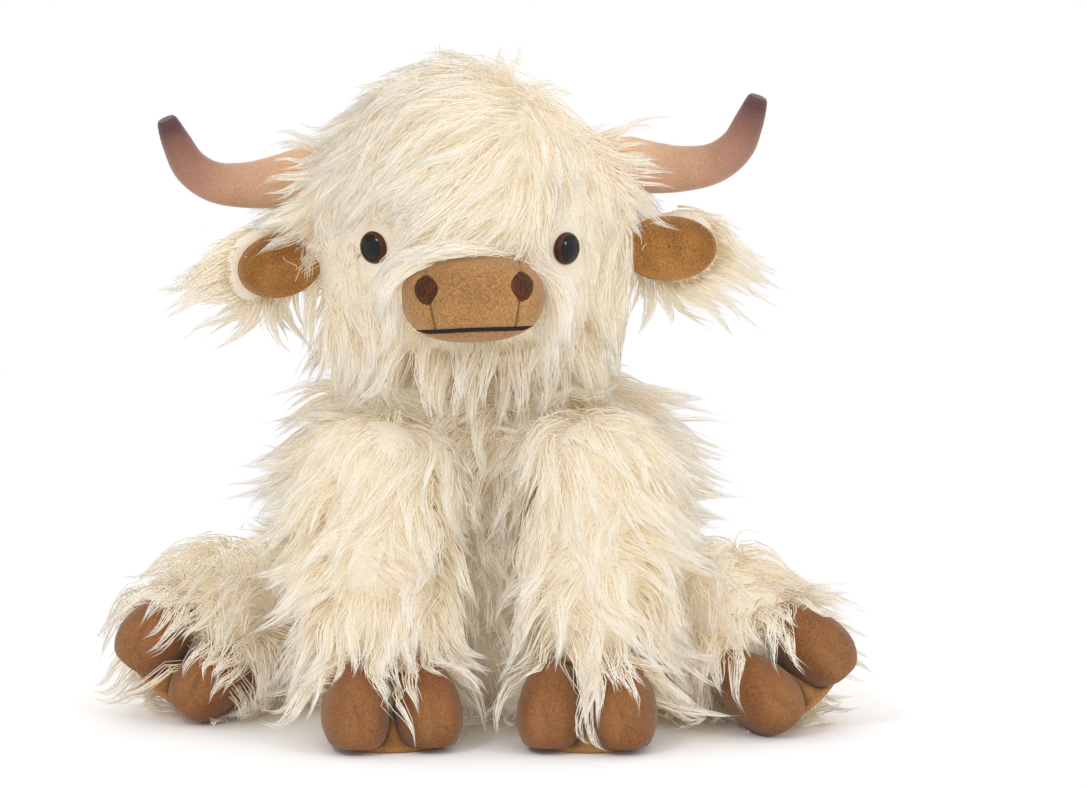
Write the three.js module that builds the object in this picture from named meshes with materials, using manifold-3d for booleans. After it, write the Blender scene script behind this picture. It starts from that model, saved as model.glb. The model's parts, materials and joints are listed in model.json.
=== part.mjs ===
// A seated plush highland cow: long shaggy coat, velour horns, plush muzzle, cloven hooves, safety eyes.
// Millimetres, +Z up. The cow faces -Y. The origin is the middle of the seat's flat underside.
// Left and right are the cow's own, so its left side is at +X.

import * as THREE from "three";
import { mergeVertices } from "three/addons/utils/BufferGeometryUtils.js";
import Module from "manifold-3d";

const wasm = await Module();
wasm.setup();

// Fabrics and clearances
const coatThickness = 14; // long-pile fabric, with its pile lying
const backingThickness = 3; // the knitted backing alone
const plushThickness = 2.5; // short-pile fabric of the muzzle and ears
const seamGap = 0.3; // between pieces that are sewn together
const jointGap = 0.7; // between a stuffed round end and the dish that it turns in
const swingGap = 1; // between a limb and what it swings past
const overrun = 6; // how far a cutting shape runs past what it cuts

// Torso: stations from under the floor to the neck, as shares of the largest size
const torsoHeight = 183;
const torsoFootDepth = 24; // how far the form is cut off at the floor
const torsoHalfWidth = 101;
const torsoHalfDepth = 86;
const torsoBellyForward = 6;
const torsoWidthShares = [0.94, 1, 0.99, 0.95, 0.9];
const torsoDepthShares = [0.94, 1, 0.96, 0.84, 0.8];
const torsoForwardShares = [0, 1, 1, 0, -0.4];

// Seat panel, with the pouch of pellets that it carries
const seatHalfWidth = 60;
const seatHalfDepth = 50;
const seatThickness = 4;
const pouchHalfWidth = 50;
const pouchHalfDepth = 40;
const pouchHeight = 30;

// Neck ball, which carries the head
const neckRadius = 26;
const neckAcross = -7;
const neckRise = 4; // above the torso
const neckAt = new THREE.Vector3(neckAcross, 0, torsoHeight + neckRise);
const stuffingHoleRadius = 8;

// Head, measured from the middle of the neck ball
const headHalfWidth = 91;
const headHalfDepth = 82;
const headHalfHeight = 79;
const headAcross = -2;
const headForward = 16;
const headUp = 80;
const headCentre = new THREE.Vector3(headAcross, -headForward, headUp);
const headWidthShares = [0.97, 1, 1, 0.97, 0.9];
const cheekBluntness = 3.6; // the long fur of the cheeks and the beard fills the head out below
const headYawDegrees = 2.5;
const headTiltDegrees = -1.8;

// Forelock: the fringe that falls from the crown to the muzzle
const forelockHalfWidth = 66;
const forelockHalfDepth = 84;
const forelockHalfHeight = 77;
const forelockRise = 11;
const forelockForward = 14;

// Muzzle, measured from the middle of the head
const muzzleHalfWidth = 38.5;
const muzzleHalfHeight = 24;
const muzzleDrop = 28;
const muzzleReach = 116; // to its front
const muzzleRoot = 52; // its hidden back end
const muzzleWidthShares = [0.9, 1, 1, 0.97, 0.88];
const seamAcross = 25.5; // from the middle to the seam under each nostril
const mouthDrop = 14.5;
const mouthHalfWidth = 31;
const mouthRadius = 0.9;
const nostrilHalfWidth = 6.6;
const nostrilHalfHeight = 7.4;
const nostrilThickness = 2;
const nostrilRise = 8.5;

// Safety eyes, set round the head from straight ahead
const eyeTurnDegrees = 43;
const eyeDrop = { left: 8.4, right: 3.9 };
const eyeRadius = 9;
const eyeDome = 6.5;
const eyeRim = 1.2;
const eyePitGap = 2;
const shankRadius = 2.6;
const shankLength = 12;
const washerRadius = 9;
const washerThickness = 2;
const washerBed = 1; // how far the washer's flat bed is pressed into the backing

// Horns: centreline from the root, as shares of reach, rise and sweep
const hornReach = 71;
const hornRise = 36;
const hornSweep = 8;
const hornReachShares = [0, 0.14, 0.39, 0.64, 0.82, 0.92, 1];
const hornRiseShares = [0, -0.06, -0.1, -0.03, 0.22, 0.6, 1];
const hornSweepShares = [0, 0.03, 0.12, 0.3, 0.55, 0.78, 1];
const hornRootRadius = 15;
const hornRadiusShares = [1, 0.97, 0.84, 0.74, 0.66, 0.56, 0.44];
const hornUp = 28;
const hornSeatDepth = 9;
const hornRangeDegrees = [-5, 5];

// Ears
const earLength = 50;
const earHalfHeight = 23;
const earHalfThickness = 11;
const earHeightShares = [0.36, 0.84, 1, 0.94, 0.72];
const earRootRadius = 8;
const earDown = 14;
const earDroop = 8;
const earForwardDegrees = { left: 4, right: 28 }; // degrees that each ear is set forward
const earSeatDepth = 7;
const earRangeDegrees = [-12, 12];
const scoopDepth = 8;
const scoopHalfLength = 25;
const scoopHalfHeight = 16.5;
const scoopHalfThickness = 14;
const scoopShare = 0.42; // of the ear's length, to the scoop's middle

// Front legs
const shoulderHeight = 138;
const shoulderTurnDegrees = { left: 34, right: 34 }; // round the torso from straight ahead
const shoulderRadius = 39;
const frontLegForward = 40;
const frontLegEndHeight = 32; // over the floor
const frontLegDrop = shoulderHeight - frontLegEndHeight;
const frontLegRadius = 41;
const frontLegShares = [0.93, 0.96, 0.98, 0.88]; // after the round root
const frontLegSplayDegrees = { left: -3, right: -8 };
const frontLegRangeDegrees = [0, 45];

// Hind legs
const hipHeight = 48;
const hipTurnDegrees = { left: 70, right: 82 };
const hipRadius = 46;
const hindLegLength = 56;
const hindLegRadius = 46;
const hindLegEndHeight = 36; // over the floor
const hindLegDrop = hipHeight - hindLegEndHeight;
const hindLegShares = [0.96, 0.91, 0.86, 0.78]; // after the round root
const hindLegSplayDegrees = { left: 34, right: 33 };
const hindLegRangeDegrees = [-10, 30];
const legSeatDepth = 11;

// Hooves, measured from the middle of the sole's underside
const toeHalfWidth = 18.5;
const toeHalfHeight = 25;
const toeLength = 60;
const toeRearShare = 0.42; // of its length that lies behind the sole's middle
const toeHeight = 24; // of its middle line at the heel
const toeDip = 4;
const toeSpread = 1.5;
const toeGap = 0.8; // the cleft
const toeWidthShares = [0.7, 0.94, 1, 0.98, 0.86];
const soleThickness = 4;
const soleHalfWidth = 28;
const soleHalfLength = 23;
const frontHoofForward = 50; // from the shoulder
const hindHoofForward = { left: 54, right: 47 }; // from the hip
const hindHoofYawDegrees = { left: 8, right: 12 };
const hindHoofRollDegrees = { left: 37, right: 37 };

// Tail
const tailHeight = 50;
const tailRadius = 10;
const tailLength = 34;
const tailDrop = 18;
const tailSeatDepth = 7;
const tuftRadius = 15;
const tuftLength = 44;
const tuftShares = [1, 1, 0.7];
const tailRangeDegrees = [-25, 25];

// How finely the forms are drawn
const bodySides = 18;
const bodyRings = 9;
const limbSides = 12;
const limbRings = 5;
const rootRings = 3;
const innerSides = 10; // of hollows and stuffings
const innerRings = 6;
const smallSides = 10;
const smallRings = 5;
const ballDetail = 2; // times that a ball's icosahedron is divided
const fineBallDetail = 3;
const ballFlatnessShare = 0.973; // least over greatest radius of such a ball
const socketTurnDegrees = 18; // degrees, so that the ball's corners face the socket's flats
const roundSides = 16;
const boreSides = 8;
const mouthSteps = 10;
const mouthSides = 3;
const swingStepDegrees = 15; // degrees between two cuts of a swing
const probeRadius = 0.5; // of the line that finds how far a form reaches
const smallestFeature = 0.15; // of a cut piece's surface
const weldDistance = 0.001; // vertices nearer than this are one vertex

const xAxis = new THREE.Vector3(1, 0, 0);
const yAxis = new THREE.Vector3(0, 1, 0);
const zAxis = new THREE.Vector3(0, 0, 1);
const forwards = yAxis.clone().negate();
const raiseAxis = xAxis.clone().negate(); // a leg, which points forwards, rises as it turns about this
const origin = new THREE.Vector3();
const unscaled = new THREE.Vector3(1, 1, 1);
const sideSigns = { left: 1, right: -1 };

// Materials

function fabric(color, roughness) {
  return new THREE.MeshStandardMaterial({ color, roughness, metalness: 0 });
}

const coat = fabric(0xf0e4cb, 0.95);
const tanPlush = fabric(0xbb8c50, 0.9);
const brownPlush = fabric(0x99602f, 0.9);
const solePlush = fabric(0xb07c45, 0.9);
const hornVelour = fabric(0xb98a6d, 0.85);
const nostrilPlush = fabric(0x3d1e12, 0.9);
const thread = fabric(0x0b0a0a, 0.6);
const polyester = fabric(0xf7f6f2, 1);
const pouchCloth = fabric(0xd9d2c2, 0.9);
const eyePlastic = fabric(0x120b08, 0.08);
const washerPlastic = fabric(0xe9e9e6, 0.4);

// Solids and cuts

function radians(degrees) {
  return THREE.MathUtils.degToRad(degrees);
}

function solidOf(geometry, matrix = new THREE.Matrix4()) {
  const bare = geometry.clone().applyMatrix4(matrix);
  bare.deleteAttribute("normal");
  bare.deleteAttribute("uv");
  const welded = mergeVertices(bare, weldDistance);
  return new wasm.Manifold(
    new wasm.Mesh({
      numProp: 3,
      vertProperties: Float32Array.from(welded.attributes.position.array),
      triVerts: Uint32Array.from(welded.index.array),
    }),
  );
}

function moved(solid, matrix) {
  return solid.transform(Array.from(matrix.elements));
}

function largestPiece(solid) {
  return solid.decompose().reduce((a, b) => (b.volume() > a.volume() ? b : a));
}

function cutBy(solid, ...tools) {
  return largestPiece(tools.reduce((left, tool) => left.subtract(tool), solid));
}

function aboveHeight(solid, height) {
  return solid.trimByPlane([0, 0, 1], height);
}

function meshOf(name, solid, material) {
  const { vertProperties, triVerts } = solid.simplify(smallestFeature).getMesh();
  const geometry = new THREE.BufferGeometry();
  geometry.setAttribute("position", new THREE.BufferAttribute(Float32Array.from(vertProperties), 3));
  geometry.setIndex(new THREE.BufferAttribute(Uint32Array.from(triVerts), 1));
  geometry.computeVertexNormals();
  const mesh = new THREE.Mesh(geometry, material);
  mesh.name = name;
  return mesh;
}

function groupAt(matrix, ...children) {
  const group = new THREE.Group();
  matrix.decompose(group.position, group.quaternion, group.scale);
  group.add(...children);
  return group;
}

// What is left of a limb, whose pivot is its frame's origin, once it clears an obstacle all through a swing.
function clearOfSwing(limb, obstacle, axis, [from, to]) {
  const cuts = Math.ceil((to - from) / swingStepDegrees);
  let left = limb;
  for (let i = 0; i <= cuts; i++) {
    const angle = from + ((to - from) * i) / cuts;
    const turn = new THREE.Matrix4().makeRotationAxis(axis, radians(-angle));
    left = left.subtract(moved(obstacle, turn));
  }
  return left;
}

// Plain shapes

function sized(shape, centre, quaternion = new THREE.Quaternion()) {
  return solidOf(shape, new THREE.Matrix4().compose(centre, quaternion, unscaled));
}

function ball(centre, radius, detail = ballDetail) {
  return sized(new THREE.IcosahedronGeometry(radius, detail), centre);
}

// The shape that clears a ball by a gap all round, also where the ball turns.
function socket(centre, radius, gap) {
  const turn = new THREE.Quaternion().setFromAxisAngle(xAxis, radians(socketTurnDegrees));
  return sized(new THREE.IcosahedronGeometry((radius + gap) / ballFlatnessShare, ballDetail), centre, turn);
}

// A round bar from one point, a given way along a direction.
function bar(from, direction, length, radius) {
  const turn = new THREE.Quaternion().setFromUnitVectors(yAxis, direction);
  const middle = from.clone().addScaledVector(direction, length / 2);
  return sized(new THREE.CylinderGeometry(radius, radius, length, boreSides), middle, turn);
}

function box(low, high) {
  const size = high.clone().sub(low);
  return sized(new THREE.BoxGeometry(size.x, size.y, size.z), low.clone().lerp(high, 0.5));
}

// An upright oval slab whose underside is at the given height.
function ovalSlab(halfWidth, halfDepth, bottom, height) {
  const outline = new THREE.Shape().absellipse(0, 0, halfWidth, halfDepth, 0, 2 * Math.PI);
  const slab = new THREE.ExtrudeGeometry(outline, {
    depth: height,
    bevelEnabled: false,
    curveSegments: roundSides,
  });
  return solidOf(slab, new THREE.Matrix4().makeTranslation(0, 0, bottom));
}

// Stuffed forms

function smoothValues(values) {
  return new THREE.SplineCurve(values.map((value, i) => new THREE.Vector2(i, value)));
}

// A closed skin over rings that run from one pole to the other.
function skinOf(rings, sides, startPole, endPole, squareness = 2) {
  const points = [];
  for (const { centre, tangent, side, width, depth } of rings) {
    const across = side.clone().addScaledVector(tangent, -side.dot(tangent)).normalize();
    const depthwise = tangent.clone().cross(across);
    for (let j = 0; j < sides; j++) {
      const c = Math.cos((2 * Math.PI * j) / sides);
      const s = Math.sin((2 * Math.PI * j) / sides);
      const round = (Math.abs(c) ** squareness + Math.abs(s) ** squareness) ** (-1 / squareness);
      const point = centre.clone().addScaledVector(across, c * round * width);
      points.push(point.addScaledVector(depthwise, s * round * depth));
    }
  }
  const start = points.push(startPole) - 1;
  const end = points.push(endPole) - 1;
  const lastRing = (rings.length - 1) * sides;
  const faces = [];
  for (let j = 0; j < sides; j++) {
    const next = (j + 1) % sides;
    faces.push(start, next, j, end, lastRing + j, lastRing + next);
    for (let here = 0; here < lastRing; here += sides) {
      const ahead = here + sides;
      faces.push(here + j, here + next, ahead + j, here + next, ahead + next, ahead + j);
    }
  }
  const geometry = new THREE.BufferGeometry().setFromPoints(points);
  geometry.setIndex(faces);
  return solidOf(geometry);
}

// A form that swells along its spine and closes in a blunt dome at both ends, of which the first may differ.
// The inset draws its whole surface inwards, or outwards where it is negative.
function domedForm(form, inset = 0) {
  const line = new THREE.CatmullRomCurve3(form.spine);
  const widthAt = smoothValues(form.widths);
  const depthAt = smoothValues(form.depths);
  const length = line.getLength();
  const sides = inset > 0 ? Math.min(form.sides, innerSides) : form.sides;
  const count = inset > 0 ? Math.min(form.rings, innerRings) : form.rings;
  // A place along the inset form, where 0 and 1 are its poles.
  const place = (share) => {
    const along = inset / length + share * (1 - (2 * inset) / length);
    const at = THREE.MathUtils.clamp(along, 0, 1);
    const tangent = line.getTangent(at);
    return { at, tangent, centre: line.getPoint(at).addScaledVector(tangent, (along - at) * length) };
  };
  const rings = [];
  for (let i = 0; i < count; i++) {
    const share = (1 - Math.cos((Math.PI * (i + 0.5)) / count)) / 2;
    const bluntness = share < 0.5 ? (form.startBluntness ?? form.bluntness) : form.bluntness;
    const swell = (1 - Math.abs(2 * share - 1) ** bluntness) ** (1 / bluntness);
    const { at, tangent, centre } = place(share);
    const width = swell * (widthAt.getPoint(at).y - inset);
    rings.push({ centre, tangent, side: form.side, width, depth: swell * (depthAt.getPoint(at).y - inset) });
  }
  return skinOf(rings, sides, place(0).centre, place(1).centre, form.squareness);
}

// A limb that turns about the start of its spine: round there, so that it stays seated, and blunt at its end.
function limbForm(form, inset = 0) {
  const line = new THREE.CatmullRomCurve3(form.spine);
  const widthAt = smoothValues(form.radii);
  const sides = inset > 0 ? Math.min(form.sides, innerSides) : form.sides;
  const root = line.getPoint(0);
  const rootTangent = line.getTangent(0);
  const rootRadius = form.radii[0] - inset;
  const rings = [];
  for (let i = 0; i < rootRings; i++) {
    const angle = (Math.PI / 2) * ((i + 0.5) / rootRings);
    const radius = rootRadius * Math.sin(angle);
    const centre = root.clone().addScaledVector(rootTangent, -rootRadius * Math.cos(angle));
    rings.push({ centre, tangent: rootTangent, side: form.side, width: radius, depth: radius });
  }
  const reach = 1 - inset / line.getLength();
  for (let i = 0; i < form.rings; i++) {
    const share = Math.sin((Math.PI / 2) * (i / form.rings));
    const at = Math.min(share * reach, 1);
    const radius = (1 - share ** form.bluntness) ** (1 / form.bluntness) * (widthAt.getPoint(at).y - inset);
    const tangent = line.getTangent(at);
    rings.push({ centre: line.getPoint(at), tangent, side: form.side, width: radius, depth: radius });
  }
  const startPole = root.clone().addScaledVector(rootTangent, -rootRadius);
  const endPole = line.getPoint(1).addScaledVector(line.getTangent(1), -inset);
  return skinOf(rings, sides, startPole, endPole);
}

// How far a solid reaches from a point inside it, along a direction.
function reachOf(solid, from, direction) {
  const { min, max } = solid.boundingBox();
  const far = new THREE.Vector3(...min).distanceTo(new THREE.Vector3(...max));
  const { vertProperties } = solid.intersect(bar(from, direction, far, probeRadius)).getMesh();
  let reach = 0;
  for (let i = 0; i < vertProperties.length; i += 3) {
    const point = new THREE.Vector3().fromArray(vertProperties, i);
    reach = Math.max(reach, point.sub(from).dot(direction));
  }
  return reach;
}

// A level direction, turned from straight ahead towards one side.
function turnedFromAhead(degrees, side) {
  const angle = radians(degrees);
  return new THREE.Vector3(sideSigns[side] * Math.sin(angle), -Math.cos(angle), 0);
}

// The middle of a round end that is seated in a body's surface by a given depth.
function seatedAt(body, from, direction, radius, depth) {
  return from.clone().addScaledVector(direction, reachOf(body, from, direction) + radius - depth);
}

function placeAt(point, degrees = 0) {
  const place = new THREE.Matrix4().makeTranslation(point.x, point.y, point.z);
  return place.multiply(new THREE.Matrix4().makeRotationZ(radians(degrees)));
}

function positionOf(matrix) {
  return new THREE.Vector3().setFromMatrixPosition(matrix);
}

// Forms that more than one piece is cut by

const torsoForm = {
  spine: torsoForwardShares.map((share, i) => {
    const up = ((torsoHeight + torsoFootDepth) * i) / (torsoForwardShares.length - 1);
    return new THREE.Vector3(0, -torsoBellyForward * share, up - torsoFootDepth);
  }),
  widths: torsoWidthShares.map((share) => torsoHalfWidth * share),
  depths: torsoDepthShares.map((share) => torsoHalfDepth * share),
  side: xAxis,
  sides: bodySides,
  rings: bodyRings,
  bluntness: 4.2,
};

const headForm = {
  spine: headWidthShares.map((_, i) => {
    const up = headHalfHeight * ((2 * i) / (headWidthShares.length - 1) - 1);
    return headCentre.clone().addScaledVector(zAxis, up);
  }),
  widths: headWidthShares.map((share) => headHalfWidth * share),
  depths: headWidthShares.map((share) => headHalfDepth * share),
  side: xAxis,
  sides: bodySides,
  rings: bodyRings,
  bluntness: 2.1,
  startBluntness: cheekBluntness,
};

const forelockForm = {
  spine: [-1, 0, 1].map((share) => {
    const up = forelockRise + forelockHalfHeight * share;
    return headCentre.clone().add(new THREE.Vector3(0, -forelockForward, up));
  }),
  widths: [forelockHalfWidth, forelockHalfWidth, forelockHalfWidth],
  depths: [forelockHalfDepth, forelockHalfDepth, forelockHalfDepth],
  side: xAxis,
  sides: bodySides,
  rings: bodyRings,
  bluntness: 2,
};

const muzzleForm = {
  spine: muzzleWidthShares.map((_, i) => {
    const forward = THREE.MathUtils.lerp(muzzleRoot, muzzleReach, i / (muzzleWidthShares.length - 1));
    return headCentre.clone().add(new THREE.Vector3(0, -forward, -muzzleDrop));
  }),
  widths: muzzleWidthShares.map((share) => muzzleHalfWidth * share),
  depths: muzzleWidthShares.map((share) => muzzleHalfHeight * share),
  side: xAxis,
  sides: bodySides,
  rings: innerRings,
  bluntness: 3,
  squareness: 2.5,
};

const torsoSolid = domedForm(torsoForm);
const headSolid = domedForm(headForm);
const headTurn = new THREE.Euler(0, radians(headTiltDegrees), radians(headYawDegrees), "ZYX");
const headQuaternion = new THREE.Quaternion().setFromEuler(headTurn);
const headPlace = new THREE.Matrix4().compose(neckAt, headQuaternion, unscaled);

// Where each limb turns, in the frame of the body that carries it

function limbPlaces(side) {
  const sign = sideSigns[side];
  const onTorso = (height, turn, radius) => {
    const from = new THREE.Vector3(0, 0, height);
    return seatedAt(torsoSolid, from, turnedFromAhead(turn, side), radius, legSeatDepth);
  };
  const onHead = (up, radius, depth) => {
    const from = headCentre.clone().addScaledVector(zAxis, up);
    return seatedAt(headSolid, from, turnedFromAhead(90, side), radius, depth);
  };
  return {
    frontLeg: placeAt(
      onTorso(shoulderHeight, shoulderTurnDegrees[side], shoulderRadius),
      sign * frontLegSplayDegrees[side],
    ),
    hindLeg: placeAt(onTorso(hipHeight, hipTurnDegrees[side], hipRadius), sign * hindLegSplayDegrees[side]),
    horn: placeAt(onHead(hornUp, hornRootRadius, hornSeatDepth)),
    ear: placeAt(onHead(-earDown, earRootRadius, earSeatDepth), -sign * earForwardDegrees[side]),
  };
}

const places = { left: limbPlaces("left"), right: limbPlaces("right") };
const tailPlace = placeAt(
  seatedAt(torsoSolid, new THREE.Vector3(0, 0, tailHeight), yAxis, tailRadius, tailSeatDepth),
);

// The dishes that a limb on each side turns in.
function dishes(name, radius) {
  return Object.values(places).map((place) => socket(positionOf(place[name]), radius, jointGap));
}

// Torso: cover, stuffing, seat panel and pouch of pellets

function torsoPieces() {
  const innerFloor = seatThickness + seamGap;
  const opening = ovalSlab(seatHalfWidth, seatHalfDepth, -overrun, innerFloor + 2 * overrun);
  const neckWall = socket(neckAt, neckRadius, jointGap + backingThickness);
  const hollow = aboveHeight(domedForm(torsoForm, coatThickness), innerFloor).subtract(neckWall);
  const cover = cutBy(
    aboveHeight(torsoSolid, 0),
    hollow,
    opening,
    socket(neckAt, neckRadius, jointGap),
    ...dishes("frontLeg", shoulderRadius),
    ...dishes("hindLeg", hipRadius),
    socket(positionOf(tailPlace), tailRadius, jointGap),
  );
  const pouchForm = {
    spine: [0, 0.5, 1].map((share) => new THREE.Vector3(0, 0, seatThickness + pouchHeight * share)),
    widths: [pouchHalfWidth, pouchHalfWidth, pouchHalfWidth],
    depths: [pouchHalfDepth, pouchHalfDepth, pouchHalfDepth],
    side: xAxis,
    sides: limbSides,
    rings: smallRings,
    bluntness: 3,
  };
  const stuffing = cutBy(
    aboveHeight(domedForm(torsoForm, coatThickness + seamGap), innerFloor + seamGap),
    domedForm(pouchForm, -seamGap),
    socket(neckAt, neckRadius, jointGap + backingThickness + seamGap),
  );
  return [
    meshOf("body_cover", cover, coat),
    meshOf("body_stuffing", stuffing, polyester),
    meshOf("seat_panel", ovalSlab(seatHalfWidth - seamGap, seatHalfDepth - seamGap, 0, seatThickness), coat),
    meshOf("pellet_pouch", aboveHeight(domedForm(pouchForm), innerFloor), pouchCloth),
  ];
}

// Safety eye: a dome on a shank that a washer locks behind the backing.
// It looks out from the head, and its bore, beds and pit cut what lies round it.

function eyeParts(side) {
  const outwards = turnedFromAhead(eyeTurnDegrees, side);
  const inwards = outwards.clone().negate();
  const middle = headCentre.clone().addScaledVector(zAxis, -eyeDrop[side]);
  const bed = reachOf(domedForm(headForm, coatThickness), middle, outwards) + washerBed;
  const at = (along) => middle.clone().addScaledVector(outwards, along);
  const seat = bed + backingThickness + seamGap;
  const profile = [
    new THREE.Vector2(0, -shankLength),
    new THREE.Vector2(shankRadius, -shankLength),
    new THREE.Vector2(shankRadius, 0),
    new THREE.Vector2(eyeRadius, 0),
  ];
  for (let i = 0; i <= smallRings; i++) {
    const angle = (Math.PI / 2) * (i / smallRings);
    const up = eyeRim + (eyeDome - eyeRim) * Math.sin(angle);
    profile.push(new THREE.Vector2(eyeRadius * Math.cos(angle), up));
  }
  const lookOut = new THREE.Quaternion().setFromUnitVectors(yAxis, outwards);
  const bore = bar(at(seat), inwards, shankLength + seamGap, shankRadius + seamGap);
  return {
    eye: sized(new THREE.LatheGeometry(profile, roundSides), at(seat), lookOut),
    washer: bar(at(bed - seamGap), inwards, washerThickness, washerRadius).subtract(bore),
    bore,
    bed: bar(at(bed), inwards, washerThickness + washerBed + 2 * seamGap, washerRadius + seamGap),
    pit: bar(at(bed + backingThickness), outwards, coatThickness + overrun, eyeRadius + eyePitGap),
  };
}

// Muzzle: four sewn panels over stuffing, two nostril patches and the stitched mouth

function nostrilForm(side, inset = 0) {
  const across = sideSigns[side] * seamAcross;
  const middle = headCentre.clone().add(new THREE.Vector3(across, -muzzleReach, nostrilRise - muzzleDrop));
  const oval = new THREE.CylinderGeometry(1, 1, muzzleReach - muzzleRoot, boreSides);
  return sized(oval.scale(nostrilHalfWidth - inset, 1, nostrilHalfHeight - inset), middle);
}

function mouthCord(muzzle, radius) {
  const points = [];
  for (let i = 0; i <= smallRings; i++) {
    const across = mouthHalfWidth * ((2 * i) / smallRings - 1);
    const from = headCentre.clone().add(new THREE.Vector3(across, -muzzleRoot, -muzzleDrop - mouthDrop));
    points.push(from.clone().addScaledVector(forwards, reachOf(muzzle, from, forwards) - mouthRadius));
  }
  const cord = new THREE.ExtrudeGeometry(new THREE.Shape().absarc(0, 0, radius, 0, 2 * Math.PI), {
    steps: mouthSteps,
    curveSegments: mouthSides,
    extrudePath: new THREE.CatmullRomCurve3(points),
  });
  return solidOf(cord);
}

function muzzlePieces() {
  const outer = domedForm(muzzleForm);
  const hollow = domedForm(muzzleForm, plushThickness);
  const behind = domedForm(headForm, coatThickness - seamGap);
  const shell = outer.subtract(hollow).subtract(behind);
  const wide = muzzleHalfWidth + overrun;
  const mouth = -muzzleDrop - mouthDrop;
  const half = seamGap / 2;
  // What lies in front of the head's middle, between two distances across and two heights.
  const region = (left, right, low, high, depth = 0) => {
    const front = headCentre.clone().add(new THREE.Vector3(left, -muzzleReach - overrun, low));
    return box(front, headCentre.clone().add(new THREE.Vector3(right, -depth, high)));
  };
  const groove = mouthCord(outer, mouthRadius + seamGap);
  const holes = ["left", "right"].map((side) => nostrilForm(side));
  const panel = (...bounds) => cutBy(shell.intersect(region(...bounds)), groove, ...holes);
  const nostrilSkin = outer
    .subtract(domedForm(muzzleForm, nostrilThickness))
    .intersect(region(-wide, wide, -muzzleReach, muzzleReach, (muzzleReach + muzzleRoot) / 2));
  const patch = (side) => largestPiece(nostrilSkin.intersect(nostrilForm(side, seamGap)));
  const stuffing = cutBy(domedForm(muzzleForm, plushThickness + seamGap), behind, groove);
  return [
    meshOf("muzzle_middle_panel", panel(half - seamAcross, seamAcross - half, mouth + half, 0), tanPlush),
    meshOf("muzzle_left_panel", panel(seamAcross + half, wide, mouth + half, 0), tanPlush),
    meshOf("muzzle_right_panel", panel(-wide, -seamAcross - half, mouth + half, 0), tanPlush),
    meshOf("chin_panel", panel(-wide, wide, mouth - wide, mouth - half), tanPlush),
    meshOf("muzzle_stuffing", stuffing, polyester),
    meshOf("mouth_stitch", cutBy(mouthCord(outer, mouthRadius), hollow), thread),
    meshOf("nostril_left", patch("left"), nostrilPlush),
    meshOf("nostril_right", patch("right"), nostrilPlush),
  ];
}

// Horns and ears, each in a frame whose origin is where it turns

function headAround(place) {
  return moved(domedForm(headForm, -swingGap), place.clone().invert());
}

// Leaves the round root of a limb in its dish, and clears the rest of it from what it swings past.
function seatedLimb(solid, obstacle, rootRadius, axis, range) {
  const root = solid.intersect(ball(origin, rootRadius + jointGap - weldDistance, fineBallDetail));
  return largestPiece(clearOfSwing(solid, obstacle, axis, range).add(root));
}

function hornGroup(side) {
  const place = places[side].horn;
  const form = {
    spine: hornReachShares.map((share, i) => {
      const sweep = -hornSweep * hornSweepShares[i];
      return new THREE.Vector3(sideSigns[side] * hornReach * share, sweep, hornRise * hornRiseShares[i]);
    }),
    radii: hornRadiusShares.map((share) => hornRootRadius * share),
    side: yAxis,
    sides: limbSides,
    rings: bodyRings,
    bluntness: 9,
  };
  const solid = seatedLimb(limbForm(form), headAround(place), hornRootRadius, yAxis, hornRangeDegrees);
  return groupAt(place, meshOf(`horn_${side}`, solid, hornVelour));
}

function earGroup(side) {
  const place = places[side].ear;
  const outwards = xAxis.clone().multiplyScalar(sideSigns[side]);
  const leafPoint = (share) =>
    outwards.clone().multiplyScalar(earLength * share).addScaledVector(zAxis, -earDroop * share);
  const leafForm = {
    spine: earHeightShares.map((_, i) => leafPoint(i / (earHeightShares.length - 1))),
    widths: earHeightShares.map((share) => earHalfHeight * share),
    depths: earHeightShares.map((share) => earHalfThickness * Math.sqrt(share)),
    side: zAxis,
    sides: smallSides,
    rings: smallRings,
    bluntness: 3,
  };
  const scoopForm = {
    spine: [-1, 0, 1].map((share) => {
      const middle = leafPoint(scoopShare).addScaledVector(outwards, share * scoopHalfLength);
      return middle.addScaledVector(yAxis, scoopDepth - earHalfThickness - scoopHalfThickness);
    }),
    widths: [scoopHalfHeight, scoopHalfHeight, scoopHalfHeight],
    depths: [scoopHalfThickness, scoopHalfThickness, scoopHalfThickness],
    side: zAxis,
    sides: smallSides,
    rings: smallRings,
    bluntness: 2.2,
  };
  const whole = domedForm(leafForm).add(ball(origin, earRootRadius));
  const leaf = seatedLimb(whole, headAround(place), earRootRadius, yAxis, earRangeDegrees);
  const back = cutBy(leaf, domedForm(scoopForm, -seamGap));
  const lining = cutBy(leaf.intersect(domedForm(scoopForm)), domedForm(scoopForm, plushThickness));
  return groupAt(
    place,
    meshOf(`ear_${side}_back`, back, coat),
    meshOf(`ear_${side}_lining`, lining, tanPlush),
  );
}

// Head: cover, stuffing, forelock, eyes and muzzle, in the frame of the neck ball

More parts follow.
